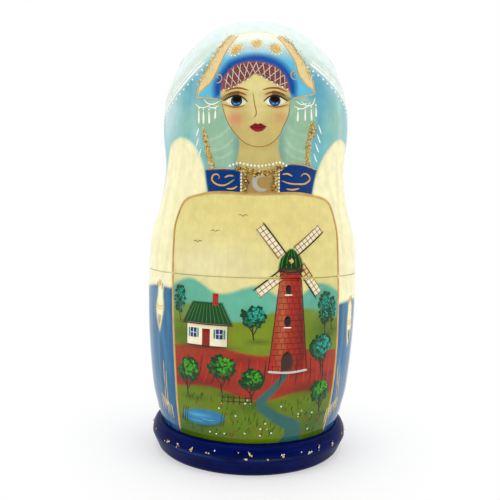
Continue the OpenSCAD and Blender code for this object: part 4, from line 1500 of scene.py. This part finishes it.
def add_node(tree, kind, inputs=None, **settings):
    """Adds a node with its settings. An input given as a socket is linked, and any other value is set."""
    node = tree.nodes.new(kind)
    for name, value in settings.items():
        setattr(node, name, value)
    for name, value in (inputs or {}).items():
        if isinstance(value, NodeSocket):
            tree.links.new(value, node.inputs[name])
        else:
            node.inputs[name].default_value = value
    return node


MIDDLE = (0.3, 0.7)  # most of a noise lies between these


def finish(name, grains, uses, bumps, sockets, tints=None):
    """The node material of that name, made on first use from a few noises on Object coordinates.

    grains: for each noise the size of its grains along x, y and z, in millimetres, and its detail.
    uses: what a noise changes, as the noise, the part of it that counts, and what that gives from low to
    high. Roughness is the shader's, mix goes from the first of two tints to the second, and any other use
    is a brightness of the colour.
    bumps: for each normal a noise, a strength and a depth in millimetres.
    sockets: what is the same all over. Without tints the colour is the piece's own paint.
    """
    material = bpy.data.materials.get(name)
    if material:
        return material
    material = bpy.data.materials.new(name)
    material.use_nodes = True
    tree = material.node_tree
    tree.nodes.clear()
    place = add_node(tree, "ShaderNodeTexCoord").outputs["Object"]
    noise = {}
    for grain, (size, detail) in grains.items():
        scale = [1 / (s * MM) for s in size]
        fitted = add_node(tree, "ShaderNodeMapping", {"Vector": place, "Scale": scale}).outputs[0]
        settings = {"Vector": fitted, "Scale": 1, "Detail": detail}
        noise[grain] = add_node(tree, "ShaderNodeTexNoise", settings).outputs["Fac"]
    if tints is None:
        colour = add_node(tree, "ShaderNodeVertexColor", layer_name="paint").outputs["Color"]
    inputs = dict(sockets)
    for use, (grain, (start, end), low, high) in uses.items():
        settings = {"Value": noise[grain], "From Min": start, "From Max": end, "To Min": low, "To Max": high}
        share = add_node(tree, "ShaderNodeMapRange", settings).outputs["Result"]
        if use == "roughness":
            inputs["Roughness"] = share
        elif use == "mix":
            settings = {"Factor": share, 6: (*tints[0], 1), 7: (*tints[1], 1)}
            colour = add_node(tree, "ShaderNodeMix", settings, data_type="RGBA").outputs[2]
        else:
            colour = add_node(tree, "ShaderNodeHueSaturation", {"Color": colour, "Value": share}).outputs[0]
    inputs["Base Color"] = colour
    for socket, (grain, strength, depth) in bumps.items():
        settings = {"Height": noise[grain], "Strength": strength, "Distance": depth * MM}
        inputs[socket] = add_node(tree, "ShaderNodeBump", settings).outputs[0]
    shader = add_node(tree, "ShaderNodeBsdfPrincipled", inputs)
    add_node(tree, "ShaderNodeOutputMaterial", {"Surface": shader.outputs[0]})
    return material


def lacquered_tempera():
    """Tempera laid by hand and sealed under clear lacquer.

    The eye sees bristle streaks, patches where the paint lies thicker, and a wet gloss that waves a little.
    """
    return finish(
        "lacquered_tempera",
        grains={"streak": ((0.6, 0.6, 12), 2), "patch": ((4, 4, 4), 2), "wave": ((7, 7, 7), 0)},
        uses={
            "thickness": ("patch", MIDDLE, 0.94, 1.06), "bristles": ("streak", MIDDLE, 0.97, 1.03),
            "roughness": ("streak", MIDDLE, 0.38, 0.5),
        },
        bumps={"Normal": ("streak", 0.25, 0.05), "Coat Normal": ("wave", 0.12, 0.4)},
        sockets={"Specular IOR Level": 0, "Coat Weight": 0.8, "Coat IOR": 1.4, "Coat Roughness": 0.05},
    )


def gold_bronze_paint():
    """Bronze powder in lacquer, drawn with a pen or a fine brush.

    The eye sees a soft grainy glitter of metal, darker where the powder lies thin. The powder's grains
    are drawn far coarser than they are, so that they show.
    """
    return finish(
        "gold_bronze_paint",
        grains={"powder": ((0.35, 0.35, 0.35), 1), "cover": ((3, 3, 3), 2)},
        uses={"thickness": ("cover", MIDDLE, 0.82, 1.12), "roughness": ("powder", MIDDLE, 0.3, 0.5)},
        bumps={"Normal": ("powder", 0.5, 0.06)},
        sockets={"Metallic": 0.45, "Coat Weight": 0.6, "Coat Roughness": 0.08},
    )


def pearl_enamel():
    """Thick drops of white enamel: the eye sees small glossy domes, a little uneven in whiteness."""
    return finish(
        "pearl_enamel",
        grains={"drop": ((1.2, 1.2, 1.2), 1)},
        uses={"whiteness": ("drop", MIDDLE, 0.93, 1.04), "roughness": ("drop", MIDDLE, 0.18, 0.3)},
        bumps={"Normal": ("drop", 0.2, 0.08)},
        sockets={"Coat Weight": 0.8, "Coat Roughness": 0.04},
    )


def glitter_foil():
    """Cut metal foil under tinted lacquer.

    The eye sees flat flakes that flash one by one, with fine scratches.
    """
    return finish(
        "glitter_foil",
        grains={"scratch": ((0.12, 0.5, 0.5), 1)},
        uses={"tarnish": ("scratch", MIDDLE, 0.9, 1.1), "roughness": ("scratch", MIDDLE, 0.2, 0.32)},
        bumps={},
        sockets={"Metallic": 0.4},
    )


def navy_lacquer():
    """Dark lacquer brushed on turned wood.

    The eye sees a deep gloss, a little lighter where the brush left less, and fine rings from the lathe.
    """
    return finish(
        "navy_lacquer",
        grains={"cloud": ((9, 9, 3), 2), "rings": ((60, 60, 0.5), 2)},
        uses={"thickness": ("cloud", MIDDLE, 0.75, 1.5), "roughness": ("cloud", MIDDLE, 0.3, 0.45)},
        bumps={"Normal": ("rings", 0.2, 0.06)},
        sockets={"Specular IOR Level": 0, "Coat Weight": 0.35, "Coat IOR": 1.25, "Coat Roughness": 0.12},
    )


def turned_linden():
    """Bare linden from the lathe.

    The eye sees a pale even wood with faint long grain, short darker flecks, and the tool's fine rings.
    """
    colours = bpy.context.scene.doll_colours
    return finish(
        "turned_linden",
        grains={"fibre": ((1.3, 1.3, 30), 3), "fleck": ((0.5, 0.5, 2.5), 1), "rings": ((80, 80, 0.45), 1)},
        uses={
            "mix": ("fibre", MIDDLE, 0, 0.8), "flecks": ("fleck", (0.55, 0.75), 1.03, 0.9),
            "roughness": ("fibre", MIDDLE, 0.5, 0.62),
        },
        bumps={"Normal": ("rings", 0.3, 0.05)},
        sockets={},
        tints=(colours.wood, colours.wood_dark),
    )


# Operators

PANEL = "Nesting doll"
ROOM_ENDS = (-0.85, 0.1)  # along y, where the mirrored room starts to pale and where it is white
LAMP_AIM = (0, 0, 0.09)  # where the lamps look
FLOOR_RADII = (0.02, 0.06, 0.1, 0.15, 0.22, 0.32, 0.5, 1, 3)  # rings of the floor's grid
FLOOR_FADE = (0.042, 0.1)  # between these radii the floor fades into the surroundings
FLOOR_WHITE = 0.45  # how far it has faded at the first of them


def figure_inks():
    """The colours of the figure and of its scene."""
    scene = bpy.context.scene
    return inks(scene.doll_colours, scene.scene_colours)


def dolls():
    """Canvas and scene of each doll of the set, from the largest."""
    return [(doll_canvas(word), features) for word, features in zip(DOLLS, SCENES)]


def plinth_canvas():
    """Canvas of the plinth. Its v starts a little under the top, above the recess for the doll's foot."""
    return Canvas(["plinth"], 0.9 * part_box("plinth")[1].z, ["painted_plinth"])


class NESTING_OT_stage(Operator):
    """Adds the floor, the white surroundings, the soft lamps and the camera"""

    bl_idname = "nesting.stage"
    bl_label = "Stage"

    def execute(self, context):
        scene = context.scene
        stage = scene.doll_stage
        scene.view_settings.view_transform = "Standard"
        world = bpy.data.worlds.new("white_surroundings")
        world.use_nodes = True
        scene.world = world
        tree = world.node_tree
        tree.nodes.clear()
        path = add_node(tree, "ShaderNodeLightPath").outputs
        way = add_node(tree, "ShaderNodeTexCoord").outputs["Generated"]
        way = add_node(tree, "ShaderNodeSeparateXYZ", {0: way}).outputs["Y"]
        # The lacquer mirrors a darker room behind the camera, and the white surroundings to the sides
        start, end = ROOM_ENDS
        ends = {"Value": way, "From Min": start, "From Max": end, "To Min": stage.room, "To Max": 1}
        mirrored_room = add_node(tree, "ShaderNodeMapRange", ends).outputs["Result"]
        strength = stage.light
        for ray, level in (
            ("Is Glossy Ray", mirrored_room), ("Is Transmission Ray", 1.0), ("Is Camera Ray", 1.0)
        ):
            mix = add_node(tree, "ShaderNodeMix", {0: path[ray], 2: strength, 3: level})
            strength = mix.outputs[0]
        light = add_node(tree, "ShaderNodeBackground", {"Color": (1, 1, 1, 1), "Strength": strength})
        add_node(tree, "ShaderNodeOutputWorld", {"Surface": light.outputs[0]})
        lay_floor(stage)
        for name, place, power, size in (
            ("top_lamp", (0, 0.24, 2.2), stage.top_lamp, 2.4),
            ("left_lamp", (-2.5, -1.36, 1.1), stage.side_lamp, 2.0),
            ("right_lamp", (2.5, -1.36, 1.1), stage.side_lamp, 2.0),
        ):
            lamp = bpy.data.lights.new(name, "AREA")
            lamp.energy = power
            lamp.size = size
            holder = bpy.data.objects.new(name, lamp)
            holder.location = place
            holder.visible_glossy = False
            way = Vector(LAMP_AIM) - holder.location
            holder.rotation_euler = way.to_track_quat("-Z", "Y").to_euler()
            scene.collection.objects.link(holder)
        lens = bpy.data.cameras.new("camera")
        lens.lens = stage.lens
        lens.clip_start = 0.01
        camera = bpy.data.objects.new("camera", lens)
        ahead = Vector((0, np.cos(stage.pitch), -np.sin(stage.pitch)))
        up = Vector((0, np.sin(stage.pitch), np.cos(stage.pitch)))
        side = Vector((1, 0, 0))
        right = np.cos(stage.roll) * side + np.sin(stage.roll) * up
        top = np.cos(stage.roll) * up - np.sin(stage.roll) * side
        turned = Matrix((right, top, -ahead)).transposed()
        camera.matrix_world = Matrix.Translation(stage.camera) @ turned.to_4x4()
        scene.collection.objects.link(camera)
        scene.camera = camera
        return {"FINISHED"}


def seen_rays(tree):
    """1 for rays that come from the camera straight, by a reflection or through glass, and 0 for others."""
    path = add_node(tree, "ShaderNodeLightPath").outputs
    seen = path["Is Camera Ray"]
    for other in ("Is Glossy Ray", "Is Transmission Ray"):
        seen = add_node(tree, "ShaderNodeMath", {0: seen, 1: path[other]}, operation="MAXIMUM").outputs[0]
    return seen


def lay_floor(stage):
    """Round pale floor on a grid of radius and angle, which runs into the white surroundings.

    Near the doll it takes the shadow, and farther out it is as white as the surroundings.
    """
    radii = np.array(FLOOR_RADII)
    angles = np.linspace(0, 2 * np.pi, 64, endpoint=False)
    points = np.stack(
        np.broadcast_arrays(radii[:, None] * np.cos(angles), radii[:, None] * np.sin(angles), 0.0), -1
    ).reshape(-1, 3)
    grid = np.arange(len(points)).reshape(len(radii), -1)
    around = np.roll(grid, -1, axis=1)
    quads = np.stack([grid[:-1], grid[1:], around[1:], around[:-1]], -1).reshape(-1, 4)
    mesh = bpy.data.meshes.new("floor")
    mesh.from_pydata(points.tolist(), [], [*quads.tolist(), grid[0].tolist()])
    material = bpy.data.materials.new("pale_paper")
    material.use_nodes = True
    tree = material.node_tree
    tree.nodes.clear()
    place = add_node(tree, "ShaderNodeTexCoord").outputs["Object"]
    far = add_node(tree, "ShaderNodeVectorMath", {0: place}, operation="LENGTH").outputs["Value"]
    near, away = FLOOR_FADE
    ends = {"Value": far, "From Min": near, "From Max": away, "To Min": FLOOR_WHITE, "To Max": 1}
    share = add_node(tree, "ShaderNodeMapRange", ends).outputs["Result"]
    share = add_node(tree, "ShaderNodeMath", {0: share, 1: seen_rays(tree)}, operation="MULTIPLY").outputs[0]
    paper = add_node(tree, "ShaderNodeBsdfDiffuse", {"Color": (*stage.floor, 1)}).outputs[0]
    white = add_node(tree, "ShaderNodeEmission", {"Color": (1, 1, 1, 1), "Strength": 1.0}).outputs[0]
    mixed = add_node(tree, "ShaderNodeMixShader", {0: share, 1: paper, 2: white}).outputs[0]
    add_node(tree, "ShaderNodeOutputMaterial", {"Surface": mixed})
    mesh.materials.append(material)
    floor = bpy.data.objects.new("floor", mesh)
    bpy.context.scene.collection.objects.link(floor)


class NESTING_OT_wood(Operator):
    """Gives the turned CAD pieces their bare wood"""

    bl_idname = "nesting.wood"
    bl_label = "Turned wood"

    def execute(self, context):
        wood = turned_linden()
        for node in frame["nodes"].values():
            for slot in node.material_slots:
                slot.material = wood
        return {"FINISHED"}


class NESTING_OT_plinth(Operator):
    """Lacquers the plinth and strews gold glitter on its upper band"""

    bl_idname = "nesting.plinth"
    bl_label = "Plinth"

    def execute(self, context):
        canvas = plinth_canvas()
        ink = figure_inks()
        lay_coat(canvas, canvas.halves[0], "plinth_lacquer", navy_lacquer(), plinth_painter(ink))
        rng = np.random.default_rng(21)
        # The flakes lie closer in front than round the sides, and in small groups
        runs = ((-42, 42, 20), (52, 125, 12), (-125, -52, 12))
        girth = np.concatenate([np.linspace(*run) for run in runs])
        girth += rng.uniform(-3, 3, len(girth))
        spots = np.column_stack([girth, rng.normal(-2.6, 0.8, len(girth))])
        near = np.repeat(spots[rng.random(len(spots)) < 0.5], 3, axis=0)
        spots = np.vstack([spots, near + rng.normal(0, 0.6, near.shape)])
        brush = Brush(canvas, "glitter")
        size = context.scene.doll_sizes.flake / MM * 1.15
        brush.flakes(spots, size, (ink.gold * 1.2, ink.ochre * 1.2, ink.lace), 22)
        brush.build(glitter_foil())
        return {"FINISHED"}


class NESTING_OT_coats(Operator):
    """Lays the painted coat over both halves of each doll"""

    bl_idname = "nesting.coats"
    bl_label = "Painted coats"

    def execute(self, context):
        ink = figure_inks()
        for canvas, features in dolls():
            painter = figure_painter(ink, features)
            for half in canvas.halves:
                lay_coat(canvas, half, f"{half.node}_coat", lacquered_tempera(), painter)
        return {"FINISHED"}


class NESTING_OT_brushwork(Operator):
    """Draws the face, the hair, the lace and the country scene of each doll with the brush"""

    bl_idname = "nesting.brushwork"
    bl_label = "Brushwork"

    def execute(self, context):
        ink = figure_inks()
        for canvas, features in dolls():
            brush = Brush(canvas, "brushwork")
            for draw in (draw_lace, draw_ornaments, draw_hair, draw_face, draw_eyes):
                draw(brush, ink)
            draw_scene(brush, ink, features)
            brush.build(lacquered_tempera())
        return {"FINISHED"}


class NESTING_OT_gilding(Operator):
    """Gilds the headdress, the dress, the frame of the apron and the skirt of each doll"""

    bl_idname = "nesting.gilding"
    bl_label = "Gilding"

    def execute(self, context):
        ink = figure_inks()
        for canvas, _ in dolls():
            brush = Brush(canvas, "gilding", 1.2)
            for gild in (gild_headdress, gild_dress, gild_frame, gild_skirt):
                gild(brush, ink)
            brush.build(gold_bronze_paint())
        return {"FINISHED"}


class NESTING_OT_pearls(Operator):
    """Sets the enamel pearls of each doll"""

    bl_idname = "nesting.pearls"
    bl_label = "Pearls"

    def execute(self, context):
        ink = figure_inks()
        for canvas, _ in dolls():
            brush = Brush(canvas, "pearls")
            set_pearls(brush, ink)
            brush.build(pearl_enamel())
        return {"FINISHED"}


class NESTING_OT_glitter(Operator):
    """Strews glitter on the straps, the headdress and under the necklace of the largest doll"""

    bl_idname = "nesting.glitter"
    bl_label = "Glitter"

    def execute(self, context):
        brush = Brush(doll_canvas(DOLLS[0]), "glitter")
        strew_glitter(brush, figure_inks())
        brush.build(glitter_foil())
        return {"FINISHED"}


OPERATORS = (
    NESTING_OT_stage,
    NESTING_OT_wood,
    NESTING_OT_plinth,
    NESTING_OT_coats,
    NESTING_OT_brushwork,
    NESTING_OT_gilding,
    NESTING_OT_pearls,
    NESTING_OT_glitter,
)


class NESTING_PT_panel(Panel):
    """Lists the pieces in the order in which they are made"""

    bl_idname = "NESTING_PT_panel"
    bl_label = "Painted nesting doll"
    bl_space_type = "VIEW_3D"
    bl_region_type = "UI"
    bl_category = PANEL

    def draw(self, context):
        for kind in OPERATORS:
            self.layout.operator(kind.bl_idname)
        for key, kind in GROUPS.items():
            box = self.layout.box()
            for name in kind.__annotations__:
                box.prop(getattr(context.scene, key), name)


GROUPS = {
    "doll_sizes": DollSizes,
    "doll_colours": DollColours,
    "scene_colours": SceneColours,
    "doll_stage": StageSettings,
}
CLASSES = (*GROUPS.values(), *OPERATORS, NESTING_PT_panel)


def register():
    """Makes the classes and their settings known to Blender."""
    for kind in CLASSES:
        bpy.utils.register_class(kind)
    for name, group in GROUPS.items():
        setattr(bpy.types.Scene, name, PointerProperty(type=group))


def unregister():
    """Takes the classes and their settings out again."""
    for name in GROUPS:
        delattr(bpy.types.Scene, name)
    for kind in reversed(CLASSES):
        bpy.utils.unregister_class(kind)


def main():
    """Makes every piece in order."""
    register()
    for kind in OPERATORS:
        group, name = kind.bl_idname.split(".")
        getattr(getattr(bpy.ops, group), name)()


if __name__ == "__main__":
    main()
